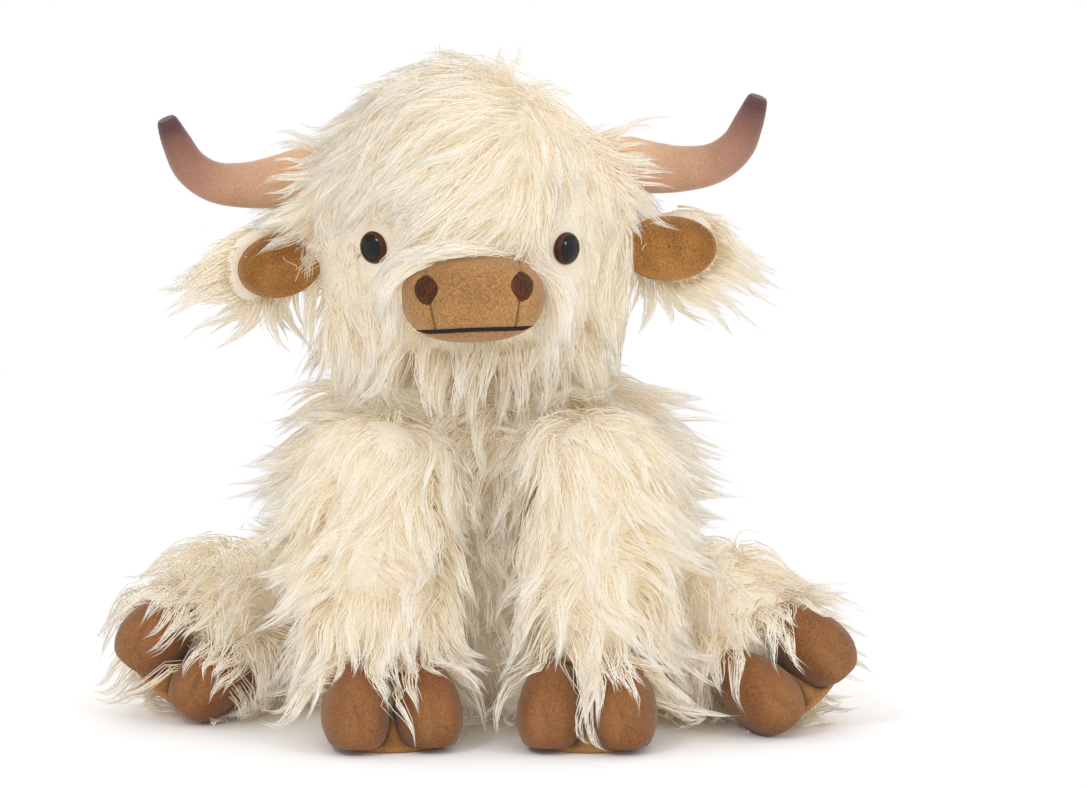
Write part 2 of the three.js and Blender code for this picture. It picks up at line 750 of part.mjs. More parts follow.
function headGroup() {
  const eyes = [eyeParts("left"), eyeParts("right")];
  const neckWall = (gap) => socket(origin, neckRadius, jointGap + backingThickness + gap);
  const muzzleHole = domedForm(muzzleForm, -seamGap);
  const pits = eyes.map(({ pit }) => pit);
  const washerCuts = eyes.flatMap(({ bore, bed }) => [bore, bed]);
  const cover = cutBy(
    headSolid,
    domedForm(headForm, coatThickness).subtract(neckWall(0)),
    socket(origin, neckRadius, jointGap),
    bar(origin, zAxis, neckRadius + 2 * overrun, stuffingHoleRadius),
    muzzleHole,
    ...dishes("horn", hornRootRadius),
    ...dishes("ear", earRootRadius),
    ...pits,
    ...washerCuts,
  );
  const stuffing = cutBy(domedForm(headForm, coatThickness + seamGap), neckWall(seamGap), ...washerCuts);
  const forelock = cutBy(
    domedForm(forelockForm),
    domedForm(headForm, -seamGap),
    muzzleHole,
    ...dishes("horn", hornRootRadius + swingGap),
    ...pits,
  );
  return groupAt(
    headPlace,
    meshOf("head_cover", cover, coat),
    meshOf("head_stuffing", stuffing, polyester),
    meshOf("forelock", forelock, coat),
    meshOf("eye_left", eyes[0].eye, eyePlastic),
    meshOf("eye_right", eyes[1].eye, eyePlastic),
    meshOf("eye_washer_left", eyes[0].washer, washerPlastic),
    meshOf("eye_washer_right", eyes[1].washer, washerPlastic),
    ...muzzlePieces(),
    hornGroup("left"),
    hornGroup("right"),
    earGroup("left"),
    earGroup("right"),
  );
}

// Hoof: two toes over a sole, in a frame whose origin is the middle of the sole's underside

function hoofGroup(name, side, place, leg) {
  const legInHoof = moved(leg, place.clone().invert());
  const rear = toeLength * toeRearShare;
  const toe = (sign) => {
    const form = {
      spine: toeWidthShares.map((_, i) => {
        const share = i / (toeWidthShares.length - 1);
        const across = sign * (toeHalfWidth + toeGap / 2 + toeSpread * share);
        return new THREE.Vector3(across, rear - toeLength * share, toeHeight - toeDip * share);
      }),
      widths: toeWidthShares.map((share) => toeHalfWidth * share),
      depths: toeWidthShares.map((share) => toeHalfHeight * share),
      side: xAxis,
      sides: smallSides,
      rings: smallRings,
      bluntness: 3.2,
      squareness: 2.3,
    };
    return cutBy(aboveHeight(domedForm(form), soleThickness + seamGap), legInHoof);
  };
  const sole = cutBy(ovalSlab(soleHalfWidth, soleHalfLength, 0, soleThickness), legInHoof);
  return groupAt(
    place,
    meshOf(`${name}_outer_toe`, toe(sideSigns[side]), brownPlush),
    meshOf(`${name}_inner_toe`, toe(-sideSigns[side]), brownPlush),
    meshOf(`${name}_sole`, sole, solePlush),
  );
}

// A leg's cover and stuffing, in a frame whose origin is where it turns and that looks along the leg

function legForm(end, rootRadius, shares, radius) {
  const count = shares.length;
  return {
    spine: [0, ...shares].map((_, i) => end.clone().multiplyScalar(i / count)),
    radii: [rootRadius, ...shares.map((share) => radius * share)],
    side: xAxis,
    sides: limbSides,
    rings: limbRings,
    bluntness: 4,
  };
}

function legPieces(name, place, form, underside, range) {
  const ankle = form.spine[form.spine.length - 1];
  const along = ankle.clone().normalize();
  const cutForm = (inset) => {
    const torso = moved(domedForm(torsoForm, -swingGap - inset), place.clone().invert());
    const solid = aboveHeight(limbForm(form, inset), underside + inset);
    return seatedLimb(solid, torso, form.radii[0] - inset, raiseAxis, range);
  };
  const holeStart = ankle.clone().addScaledVector(along, -coatThickness - overrun);
  const hole = bar(holeStart, along, coatThickness + 2 * overrun, stuffingHoleRadius);
  return [
    meshOf(`${name}_cover`, cutBy(cutForm(0), cutForm(coatThickness), hole), coat),
    meshOf(`${name}_stuffing`, cutForm(coatThickness + seamGap), polyester),
  ];
}

function frontLeg(side) {
  const place = places[side].frontLeg;
  const end = new THREE.Vector3(0, -frontLegForward, -frontLegDrop);
  const form = legForm(end, shoulderRadius, frontLegShares, frontLegRadius);
  const floor = -positionOf(place).z;
  const hoofPlace = new THREE.Matrix4().makeTranslation(0, -frontHoofForward, floor);
  return groupAt(
    place,
    ...legPieces(`front_leg_${side}`, place, form, floor + soleThickness + seamGap, frontLegRangeDegrees),
    hoofGroup(`front_hoof_${side}`, side, hoofPlace, limbForm(form, -seamGap)),
  );
}

function hindLeg(side) {
  const sign = sideSigns[side];
  const place = places[side].hindLeg;
  const end = new THREE.Vector3(0, -hindLegLength, -hindLegDrop);
  const form = legForm(end, hipRadius, hindLegShares, hindLegRadius);
  const floor = -positionOf(place).z;
  const turn = new THREE.Matrix4()
    .makeRotationZ(radians(-sign * hindHoofYawDegrees[side]))
    .multiply(new THREE.Matrix4().makeRotationY(radians(-sign * hindHoofRollDegrees[side])))
    .multiply(new THREE.Matrix4().makeTranslation(0, 0, -toeHeight));
  const sole = ovalSlab(soleHalfWidth, soleHalfLength, 0, soleThickness);
  const hoofPlace = new THREE.Matrix4()
    .makeTranslation(0, -hindHoofForward[side], floor - moved(sole, turn).boundingBox().min[2])
    .multiply(turn);
  return groupAt(
    place,
    ...legPieces(`hind_leg_${side}`, place, form, floor, hindLegRangeDegrees),
    hoofGroup(`hind_hoof_${side}`, side, hoofPlace, limbForm(form, -seamGap)),
  );
}

// Tail: a stuffed root with a tuft that reaches the floor

function tailGroup() {
  const torso = moved(domedForm(torsoForm, -swingGap), tailPlace.clone().invert());
  const floor = -tailHeight;
  const rootForm = {
    spine: [0, 1 / 3, 2 / 3, 1].map(
      (share) => new THREE.Vector3(0, tailLength * share, -tailDrop * share * share),
    ),
    radii: [tailRadius, tailRadius, tailRadius, tailRadius],
    side: xAxis,
    sides: smallSides,
    rings: smallRings,
    bluntness: 5,
  };
  const tuftStart = new THREE.Vector3(0, tailLength - tailRadius, -tailDrop);
  const tuftFall = floor + tuftRadius - tuftStart.z;
  const tuftForm = {
    spine: tuftShares.map((_, i) => {
      const share = i / (tuftShares.length - 1);
      return tuftStart.clone().add(new THREE.Vector3(0, tuftLength * share, tuftFall * share));
    }),
    widths: tuftShares.map((share) => tuftRadius * share),
    depths: tuftShares.map((share) => tuftRadius * share),
    side: xAxis,
    sides: smallSides,
    rings: smallRings,
    bluntness: 2.2,
  };
  const root = seatedLimb(limbForm(rootForm), torso, tailRadius, zAxis, tailRangeDegrees);
  return groupAt(
    tailPlace,
    meshOf("tail_root", cutBy(root, domedForm(tuftForm, -seamGap)), coat),
    meshOf("tail_tuft", aboveHeight(domedForm(tuftForm), floor), coat),
  );
}

const cow = new THREE.Group();
cow.add(
  ...torsoPieces(),
  meshOf("neck", ball(neckAt, neckRadius), coat),
  headGroup(),
  frontLeg("left"),
  frontLeg("right"),
  hindLeg("left"),
  hindLeg("right"),
  tailGroup(),
);

export default cow;
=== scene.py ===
"""A seated long-haired plush cow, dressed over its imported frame.

Metres, +Z up. The cow faces -Y, and left and right are its own, so its left side is at +X. Each stuffed
piece is a smooth form drawn round its middle line, and the long pile of the coat is grown from those forms:
locks of fine strands that start in the backing, lie over the form along a comb direction and hang where
nothing holds them. Tools for surfaces and pile come first, then the materials, the sizes of the forms, the
camera and light, and the pieces.
"""

import json
import logging
import math
from collections.abc import Callable, Sequence
from dataclasses import dataclass, field, replace
from enum import Enum

import bpy
import numpy as np
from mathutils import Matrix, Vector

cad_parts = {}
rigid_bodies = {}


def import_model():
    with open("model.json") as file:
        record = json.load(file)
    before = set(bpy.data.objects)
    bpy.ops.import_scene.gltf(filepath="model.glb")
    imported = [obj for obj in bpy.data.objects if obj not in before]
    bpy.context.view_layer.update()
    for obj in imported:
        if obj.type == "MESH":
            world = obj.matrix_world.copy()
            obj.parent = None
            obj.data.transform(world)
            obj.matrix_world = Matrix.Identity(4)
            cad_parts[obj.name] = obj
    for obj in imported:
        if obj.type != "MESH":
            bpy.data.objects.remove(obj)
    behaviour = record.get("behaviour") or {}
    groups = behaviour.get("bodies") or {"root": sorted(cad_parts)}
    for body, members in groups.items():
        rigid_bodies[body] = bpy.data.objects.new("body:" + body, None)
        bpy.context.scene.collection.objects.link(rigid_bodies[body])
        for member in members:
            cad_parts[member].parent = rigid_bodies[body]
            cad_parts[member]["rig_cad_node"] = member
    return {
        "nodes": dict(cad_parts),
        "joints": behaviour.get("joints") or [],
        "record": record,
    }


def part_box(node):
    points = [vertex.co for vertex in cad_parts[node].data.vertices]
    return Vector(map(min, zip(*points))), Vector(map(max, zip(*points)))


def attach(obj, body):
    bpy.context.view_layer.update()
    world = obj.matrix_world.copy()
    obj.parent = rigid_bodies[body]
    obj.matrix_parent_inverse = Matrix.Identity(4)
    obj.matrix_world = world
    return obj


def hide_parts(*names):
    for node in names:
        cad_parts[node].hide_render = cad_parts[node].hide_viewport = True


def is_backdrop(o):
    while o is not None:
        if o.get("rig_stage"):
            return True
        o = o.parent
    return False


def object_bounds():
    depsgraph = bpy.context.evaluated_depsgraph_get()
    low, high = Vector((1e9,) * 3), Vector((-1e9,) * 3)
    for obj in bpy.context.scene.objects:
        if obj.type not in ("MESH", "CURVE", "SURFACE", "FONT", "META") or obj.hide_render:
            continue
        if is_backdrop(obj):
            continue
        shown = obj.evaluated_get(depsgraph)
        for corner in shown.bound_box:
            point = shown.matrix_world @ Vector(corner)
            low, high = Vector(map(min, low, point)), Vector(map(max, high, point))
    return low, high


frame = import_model()

Array = np.ndarray
MM = 0.001
log = logging.getLogger("plush_cow")


class Side(Enum):
    """The cow's own sides, with the sign of X on each."""

    LEFT = 1
    RIGHT = -1

    @property
    def word(self) -> str:
        """The side's name as the frame writes it."""
        return self.name.lower()


# Vectors and curves


def vec(*values: float) -> Array:
    """A vector of the given numbers."""
    return np.array(values, float)


def dot(a: Array, b: Array) -> Array:
    """The dot products of two arrays of vectors, kept as a last axis of one."""
    return np.sum(a * b, axis=-1, keepdims=True)


def unit(a: Array) -> Array:
    """The vectors scaled to length one."""
    return a / np.maximum(np.linalg.norm(a, axis=-1, keepdims=True), 1e-12)


def smooth_path(points: Array, count: int) -> Array:
    """A smooth curve through points: between two of them a cubic whose slopes point along their neighbours.

    Args:
        points: The points that the curve passes, one a row.
        count: How many points to return, evenly spaced in the curve's parameter.

    Returns:
        The points on the curve, one a row.
    """
    padded = np.vstack([2 * points[0] - points[1], points, 2 * points[-1] - points[-2]])
    at = np.linspace(0, len(points) - 1, count)
    start = np.minimum(at.astype(int), len(points) - 2)
    t = (at - start)[:, None]
    a, b, c, d = (padded[start + k] for k in range(4))
    return 0.5 * (2 * b + (c - a) * t + (2 * a - 5 * b + 4 * c - d) * t**2 + (3 * b - a - 3 * c + d) * t**3)


def resampled(values: Sequence[float], at: Array) -> Array:
    """Values at places from 0 to 1 along an evenly spaced list of them."""
    return np.interp(at, np.linspace(0, 1, len(values)), values)


def bell(distance: Array, width: float) -> Array:
    """A bell curve: 1 at distance 0, and near 0 past twice the width."""
    return np.exp(-((distance / width) ** 2))


def turns(count: int) -> Array:
    """Angles evenly spaced round a circle."""
    return 2 * np.pi * np.arange(count) / count


def oval(half: Array, count: int) -> Array:
    """Points round an ellipse of the given half axes, one a row."""
    angle = turns(count)
    return np.stack([np.cos(angle) * half[0], np.sin(angle) * half[1]], axis=1)


def ripple(points: Array, pitch: float, seed: int) -> Array:
    """A smooth random vector at each point: sine waves of random directions and phases, added up.

    Args:
        points: Where it is wanted, in metres, one a row.
        pitch: The length of a typical wave.
        seed: Picks the waves.

    Returns:
        Vectors whose parts lie mostly between -1 and 1.
    """
    rng = np.random.default_rng(seed)
    waves, usual_peak = 5, 2.2
    directions = unit(rng.normal(size=(3, waves, 3))) * (2 * np.pi / pitch)
    directions = directions * rng.uniform(0.6, 1.6, (3, waves, 1))
    phases = rng.uniform(0, 2 * np.pi, (3, waves))
    return np.sin(np.einsum("nk,abk->nab", points, directions) + phases).sum(axis=2) / usual_peak


@dataclass(frozen=True)
class Placement:
    """A local frame: where its origin is, and its axes as the columns of a turn."""

    origin: Array
    turn: Array

    def point(self, local: Array) -> Array:
        """The world places of local points."""
        return self.origin + local @ self.turn.T

    def local(self, world: Array) -> Array:
        """The local places of world points."""
        return (world - self.origin) @ self.turn

    def direction(self, local: Array) -> Array:
        """The world directions of local directions."""
        return local @ self.turn.T

    def moved(self, offset: Array, turn: Array | None = None) -> "Placement":
        """The frame whose origin is at a local offset, turned by a further matrix."""
        return Placement(self.point(offset), self.turn @ (np.eye(3) if turn is None else turn))


WORLD = Placement(np.zeros(3), np.eye(3))


def turn_about(axis: int, degrees: float) -> Array:
    """The matrix that turns about axis 0, 1 or 2 by the right-hand rule."""
    c, s = math.cos(math.radians(degrees)), math.sin(math.radians(degrees))
    i, j = (axis + 1) % 3, (axis + 2) % 3
    turn = np.eye(3)
    turn[i, i], turn[i, j], turn[j, i], turn[j, j] = c, -s, s, c
    return turn


def joint_of(name: str) -> dict:
    """The frame's joint of that name."""
    return next(joint for joint in frame["joints"] if joint["name"] == name)


def joint_at(name: str) -> Array:
    """Where that joint turns."""
    return np.array(joint_of(name)["pos_m"])


# Surfaces


@dataclass
class Surface:
    """A mesh as arrays. Its faces are rows of four corners, where a triangle repeats its last one."""

    points: Array
    quads: Array
    uv: Array | None = None  # one pair for each point

    def normals(self) -> Array:
        """Each point's outward direction: the sum of its faces' normals, weighted by their areas."""
        a, b, c, d = (self.points[self.quads[:, k]] for k in range(4))
        across = np.cross(c - a, d - b) + 1e-18
        total = np.zeros_like(self.points)
        for k in range(4):
            np.add.at(total, self.quads[:, k], across)
        return unit(total)


def grid_quads(rows: int, columns: int, closed: bool) -> Array:
    """The faces of a grid of points, row after row, whose last column may join the first."""
    across = np.arange(columns if closed else columns - 1)
    here = np.arange(rows - 1)[:, None] * columns + across
    right = np.arange(rows - 1)[:, None] * columns + (across + 1) % columns
    return np.stack([here, right, right + columns, here + columns], axis=-1).reshape(-1, 4)


def capped_tube(rings: Array, start: Array | None = None, end: Array | None = None) -> Surface:
    """A closed surface over rings of points, with a pole at each end.

    Args:
        rings: The points, as rings by sides by three. They turn right-handed about the way that they advance.
        start: The pole before the first ring, or none for that ring's middle.
        end: The pole after the last ring, likewise.

    Returns:
        The surface, whose map has u round the ring and v from pole to pole.
    """
    count, sides = rings.shape[:2]
    start = rings[0].mean(axis=0) if start is None else start
    end = rings[-1].mean(axis=0) if end is None else end
    points = np.vstack([rings.reshape(-1, 3), start, end])
    here = np.arange(sides)
    ahead = (here + 1) % sides
    last = (count - 1) * sides
    first_fan = np.stack([np.full(sides, count * sides), ahead, here, here], axis=1)
    last_fan = np.stack([np.full(sides, count * sides + 1), last + here, last + ahead, last + ahead], axis=1)
    u = np.tile(here / sides, count)
    v = np.repeat((np.arange(count) + 1) / (count + 1), sides)
    uv = np.vstack([np.stack([u, v], axis=1), [[0.5, 0], [0.5, 1]]])
    return Surface(points, np.vstack([grid_quads(count, sides, True), first_fan, last_fan]), uv)


def pad_rings(half: Array, thickness: float, rounding: float, power: int, sides: int) -> Array:
    """The rings of an oval pad whose edge is rounded.

    At s from 0 to 1 of its height it is 1 - rounding * |2s - 1|^power of its full size.

    Args:
        half: Its half axes.
        thickness: Its height.
        rounding: How far it draws in above and below.
        power: How late it does so.
        sides: How many points each ring has.

    Returns:
        The rings, from its underside up, as rings by sides by three.
    """
    share = np.linspace(0, 1, 9)[:, None, None]
    flat = oval(half, sides)[None] * (1 - rounding * np.abs(2 * share - 1) ** power)
    return np.concatenate([flat, np.broadcast_to(share * thickness, (len(share), sides, 1))], axis=2)


def mesh_piece(name: str, surface: Surface, smooth: bool = True) -> bpy.types.Object:
    """A new object at the origin whose mesh is the surface.

    Args:
        name: The piece's name.
        surface: Its points, faces and map.
        smooth: Whether light runs smoothly over the edges.

    Returns:
        The object, in the scene.
    """
    quads = surface.quads
    sizes = np.where(quads[:, 2] == quads[:, 3], 3, 4)
    keep = np.ones_like(quads, bool)
    keep[:, 3] = sizes == 4
    corners = quads[keep]
    mesh = bpy.data.meshes.new(name)
    mesh.vertices.add(len(surface.points))
    mesh.vertices.foreach_set("co", surface.points.astype(np.float32).ravel())
    mesh.loops.add(len(corners))
    mesh.loops.foreach_set("vertex_index", corners.astype(np.int32))
    mesh.polygons.add(len(sizes))
    mesh.polygons.foreach_set("loop_start", (np.cumsum(sizes) - sizes).astype(np.int32))
    mesh.polygons.foreach_set("use_smooth", np.full(len(sizes), smooth))
    if surface.uv is not None:
        layer = mesh.uv_layers.new(name="Along")
        layer.data.foreach_set("uv", surface.uv[corners].astype(np.float32).ravel())
    mesh.update(calc_edges=True)
    mesh.validate()
    piece = bpy.data.objects.new(name, mesh)
    bpy.context.scene.collection.objects.link(piece)
    return piece


def thickened(piece: bpy.types.Object, thickness: float) -> bpy.types.Object:
    """Gives an open sheet a back, on its inner side."""
    wall = piece.modifiers.new("Cloth", "SOLIDIFY")
    wall.thickness = thickness
    wall.offset = -1
    return piece


# Stuffed forms


@dataclass(frozen=True)
class DomedForm:
    """A form that swells along a middle line and closes in a blunt dome at both ends.

    With s from 0 to 1 along the line, a cross-section is the half widths and depths there times
    (1 - |2s - 1|^bluntness)^(1 / bluntness), and a superellipse of power squareness. The first half may have
    a bluntness of its own. An inset draws the form inwards.
    """

    place: Placement
    spine: Array
    widths: Sequence[float]
    depths: Sequence[float]
    side: Array
    bluntness: float
    squareness: float = 2.0
    inset: float = 0.0
    start_bluntness: float | None = None

    def blunt(self, share: Array) -> Array:
        """The bluntness of the half in which each place from 0 to 1 lies."""
        return np.where(share < 0.5, self.start_bluntness or self.bluntness, self.bluntness)

    def axes(self) -> tuple[float, Array, Array, Array]:
        """The line's length, its direction, and the two directions across it."""
        chord = self.spine[-1] - self.spine[0]
        along = unit(chord)
        across = unit(self.side - dot(self.side, along) * along)
        return float(np.linalg.norm(chord)), along, across, np.cross(along, across)

    def centre_at(self, share: Array) -> Array:
        """The middle line's points at places from 0 to 1."""
        return np.stack([resampled(self.spine[:, k], share) for k in range(3)], axis=-1)

    def surface(self, rings: int = 40, sides: int = 56) -> Surface:
        """The form's whole closed surface, in the world.

        Args:
            rings: How many rings it has between its poles.
            sides: How many points each ring has.

        Returns:
            The surface.
        """
        length, along, across, depthwise = self.axes()
        share = (1 - np.cos(np.pi * (np.arange(rings) + 0.5) / rings)) / 2
        blunt = self.blunt(share)
        swell = (1 - np.abs(2 * share - 1) ** blunt) ** (1 / blunt)
        at = self.inset / length + share * (1 - 2 * self.inset / length)
        width = swell * (resampled(self.widths, at) - self.inset)
        depth = swell * (resampled(self.depths, at) - self.inset)
        angle = turns(sides)
        c, s = np.cos(angle), np.sin(angle)
        round_ = (np.abs(c) ** self.squareness + np.abs(s) ** self.squareness) ** (-1 / self.squareness)
        ring = width[:, None, None] * (c * round_)[None, :, None] * across
        ring = ring + depth[:, None, None] * (s * round_)[None, :, None] * depthwise
        points = self.centre_at(at)[:, None, :] + ring
        start = self.spine[0] + along * self.inset
        end = self.spine[-1] - along * self.inset
        tube = capped_tube(points, start, end)
        tube.points = self.place.point(tube.points)
        return tube

    def distance(self, world: Array) -> Array:
        """How far points lie outside the form, along the rays from its middle."""
        local = self.place.local(world)
        length, along, across, depthwise = self.axes()
        share = dot(local - self.spine[0], along)[:, 0] / length
        inner = np.clip(share, 0, 1)
        offset = local - self.centre_at(inner)
        wide = np.abs(dot(offset, across)[:, 0]) / (resampled(self.widths, inner) - self.inset)
        deep = np.abs(dot(offset, depthwise)[:, 0]) / (resampled(self.depths, inner) - self.inset)
        ring = (wide**self.squareness + deep**self.squareness) ** (1 / self.squareness)
        pole = np.abs(2 * share - 1) * length / (length - 2 * self.inset)
        blunt = self.blunt(share)
        size = np.maximum((pole**blunt + ring**blunt) ** (1 / blunt), 1e-6)
        middle = (self.spine[0] + self.spine[-1]) / 2
        return np.linalg.norm(local - middle, axis=1) * (1 - 1 / size)

    def drawn_in(self, inset: float) -> "DomedForm":
        """The same form drawn further inwards."""
        return replace(self, inset=self.inset + inset)


LINE_SAMPLES = 200  # of a limb's middle line, for its surface
BALLS = 14  # of the chain that stands for a limb when distances are taken


@dataclass(frozen=True)
class LimbForm:
    """A limb that is round at its root, where it turns, and blunt at its far end: a chain of balls."""

    place: Placement
    spine: Array
    radii: Sequence[float]
    side: Array
    bluntness: float = 4.0
    inset: float = 0.0
    nose: float = 0.3  # how far the far pole stands off the last ring, as a share of that ring's radius

    def surface(self, rings: int = 36, sides: int = 40) -> Surface:
        """The limb's whole closed surface, in the world.

        Args:
            rings: How many rings it has between its poles, a third of them on the round root.
            sides: How many points each ring has.

        Returns:
            The surface.
        """
        rooted = rings // 3
        angle = (np.pi / 2) * (np.arange(rooted) + 0.5) / rooted
        share = np.sin((np.pi / 2) * np.arange(rings - rooted) / (rings - rooted))
        line = smooth_path(self.spine, LINE_SAMPLES)
        tangents = unit(np.gradient(line, axis=0))
        length = float(np.linalg.norm(np.diff(line, axis=0), axis=1).sum())
        at = share * (1 - self.inset / length)
        index = np.minimum((at * (LINE_SAMPLES - 1)).astype(int), LINE_SAMPLES - 1)
        root = self.radii[0] - self.inset
        blunt = (1 - share**self.bluntness) ** (1 / self.bluntness)
        radius = np.concatenate([root * np.sin(angle), blunt * (resampled(self.radii, at) - self.inset)])
        centre = np.vstack([line[0] - tangents[0] * (root * np.cos(angle))[:, None], line[index]])
        tangent = np.vstack([np.tile(tangents[0], (rooted, 1)), tangents[index]])
        across = unit(self.side - dot(np.broadcast_to(self.side, tangent.shape), tangent) * tangent)
        depthwise = np.cross(tangent, across)
        turn = turns(sides)[None, :, None]
        ring = np.cos(turn) * across[:, None] + np.sin(turn) * depthwise[:, None]
        start = line[0] - tangents[0] * root
        end = line[index[-1]] + tangents[index[-1]] * radius[-1] * self.nose
        tube = capped_tube(centre[:, None] + ring * radius[:, None, None], start, end)
        tube.points = self.place.point(tube.points)
        return tube

    def distance(self, world: Array) -> Array:
        """How far points lie outside the limb: the least distance to the balls of its chain."""
        local = self.place.local(world)
        line = smooth_path(self.spine, BALLS)
        radii = resampled(self.radii, np.linspace(0, 1, BALLS)) - self.inset
        gaps = np.linalg.norm(local[:, None] - line[None], axis=2) - radii[None]
        return gaps.min(axis=1)

    def drawn_in(self, inset: float) -> "LimbForm":
        """The same limb drawn further inwards."""
        return replace(self, inset=self.inset + inset)


Form = DomedForm | LimbForm


def rod(start: Array, end: Array, radii: Sequence[float]) -> LimbForm:
    """A straight round limb between two places in the world."""
    return LimbForm(WORLD, np.array([start, end]), radii, vec(0, 0, 1))


@dataclass(frozen=True)
class Floor:
    """The level surface that the toy sits on, just above it."""

    height: float = 1 * MM

    def distance(self, world: Array) -> Array:
        """How far points lie above it."""
        return world[:, 2] - self.height


@dataclass(frozen=True)
class Room:
    """The box that the coat keeps to: the solids' own box, and how far cloth may stand proud of it."""

    low: Array
    high: Array

    def distance(self, world: Array) -> Array:
        """How far points lie inside it, less than nothing once they are outside."""
        return np.minimum(world - self.low, self.high - world).min(axis=1)

    def held(self, paths: Array) -> Array:
        """Strands whose points are all in the box and over the floor."""
        return np.clip(paths, np.maximum(self.low, vec(-9, -9, 0.7 * MM)), self.high)


def room_for(corners: Sequence[Sequence[float]]) -> Room:
    """The room that the solids' box leaves: three hundredths of each side and 9 mm more on either side."""
    low, high = np.array(corners[0]), np.array(corners[1])
    proud = 0.03 * (high - low) + 9 * MM
    return Room(low - proud, high + proud)


@dataclass(frozen=True)
class Surroundings:
    """All that a strand may not enter."""

    forms: Sequence[Form | Floor]

    def distance(self, world: Array) -> Array:
        """The least distance to any of the forms."""
        return np.min([form.distance(world) for form in self.forms], axis=0)

    def outwards(self, world: Array) -> tuple[Array, Array]:
        """The distance, and the direction in which it grows, by small steps along each axis."""
        step = 0.5 * MM
        here = self.distance(world)
        slopes = [(self.distance(world + step * axis) - here) / step for axis in np.eye(3)]
        return here, unit(np.stack(slopes, axis=1))


# Pile


def overhang(out: Array) -> Array:
    """How far a surface looks down: 0 where it is upright, and 1 from 42 degrees under the level on."""
    return np.clip(-1.5 * out[:, 2:], 0, 1)


@dataclass(frozen=True)
class Comb:
    """Which way the pile is brushed at a place.

    The direction is the fall, straight down, plus a spread away from a middle, plus a sweep that is the same
    everywhere, plus a smooth random turn, the tousle. Each part of the spread is its own factor times the
    distance from the middle, in tenths of a metre, to the power growth: over 1 it sets in late, and under 1
    at once. The fall grows by settle for each tenth of a metre under the middle.
    """

    middle: Array
    spread: Array
    seed: int
    fall: float = 1.0
    settle: float = 0.0
    sweep: Array = field(default_factory=lambda: np.zeros(3))
    growth: float = 1.0
    tousle: float = 0.25
    tousle_pitch: float = 60 * MM
    stand: float = 0.25  # the share that is kept of a direction off the surface

    def flow(self, world: Array) -> Array:
        """The comb direction at each point."""
        away = (world - self.middle) / (100 * MM)
        fall = self.fall + self.settle * np.maximum(-away[:, 2:], 0)
        away = self.spread * np.sign(away) * np.abs(away) ** self.growth
        turn = self.tousle * ripple(world, self.tousle_pitch, self.seed)
        return unit(away + self.sweep - fall * vec(0, 0, 1) + turn)

    def over(self, world: Array, out: Array) -> Array:
        """The comb direction laid along a surface that faces out, but free to hang under it."""
        flow = self.flow(world)
        rise = dot(flow, out)
        stand = self.stand + (1 - self.stand) * overhang(out)
        return unit(flow - out * np.where(rise > 0, rise * (1 - stand), rise))


@dataclass(frozen=True)
class Pile:
    """How the long pile of one region is cut and lies."""

    length: float
    spacing: float  # between locks
    strands: int = 19  # in a lock
    lock_radius: float = 7 * MM
    layers: tuple[float, float] = (3 * MM, 15 * MM)  # least and greatest height at which a lock lies
    flare: float = 14 * MM  # how far the tips of the wildest locks stand off
    lift: float = 0.5  # how steeply it leaves the backing
    wave: float = 0.5  # how far a lock swings from side to side
    gather: float = 0.9  # how far a lock's strands come together at its tip
    radius: float = 0.29 * MM
    stub: float = 0.0  # the share of a trimmed lock that stays where it starts inside the cleared space
    short: float = 0.14  # the share of strands that are a loose undercoat, half as long


STEPS = 10  # of a lock's path
LOCK_LENGTHS = (0.75, 1.15)  # least and greatest, as shares of the pile's length
WILDNESS = 1.6  # the power that makes wide flares rare
STRAY = 0.1  # how far a lock's way differs from its neighbours'
SWINGS = 1.15  # from side to side, in a lock's length
SWING_PITCH = 75 * MM  # over which neighbours swing together
CLEARANCE = 0.6 * MM  # of a lock's path over the forms
CLIMB_OVER = 8 * MM  # the error in height at which a lock climbs or sinks the most
LEAST_SHARE = 0.14  # of its length that a trimmed lock must keep
STRAND_POINTS = 6  # of a strand's path, its tip among them
STRAND_SIDES = 3
SHORTER_OUTSIDE = 0.24  # the share that a strand loses for each lock radius off the middle
LOOSE = 0.06  # the share of strands that keep apart from their lock
LOOSE_GATHER = 0.2  # how far those come together
BOW = 0.16  # of a strand, in lock radii
TAPER = 0.6  # the share of its radius that a strand loses on the way to its tip
TINTS = 128  # columns of the strands' map, each with a tint of its own
MOST_STRANDS = 6900  # in one piece


def along_paths(paths: Array, at: Array) -> Array:
    """Points on paths, between two of a path's own points in proportion.

    Args:
        paths: The paths, as paths by points by three.
        at: For each path, the places that are wanted, counted in its own points.

    Returns:
        The points, as paths by places by three.
    """
    low = np.clip(at.astype(int), 0, paths.shape[1] - 2)
    part = (at - low)[:, :, None]
    rows = np.arange(len(paths))[:, None]
    return paths[rows, low] * (1 - part) + paths[rows, low + 1] * part


def scattered(surface: Surface, spacing: float, rng: np.random.Generator) -> tuple[Array, Array]:
    """Random points on a surface, as many as squares of the spacing cover it.

    Args:
        surface: The surface.
        spacing: The side of the square that each point has to itself.
        rng: The source of chance.

    Returns:
        The points and the surface's outward directions there.
    """
    quads, normals = surface.quads, surface.normals()
    triangles = np.vstack([quads[:, [0, 1, 2]], quads[quads[:, 2] != quads[:, 3]][:, [0, 2, 3]]])
    a, b, c = (surface.points[triangles[:, k]] for k in range(3))
    areas = np.linalg.norm(np.cross(b - a, c - a), axis=1) / 2
    count = int(areas.sum() / spacing**2)
    chosen = triangles[rng.choice(len(triangles), count, p=areas / areas.sum())]
    weights = rng.dirichlet((1, 1, 1), count)[:, :, None]
    return (surface.points[chosen] * weights).sum(axis=1), unit((normals[chosen] * weights).sum(axis=1))


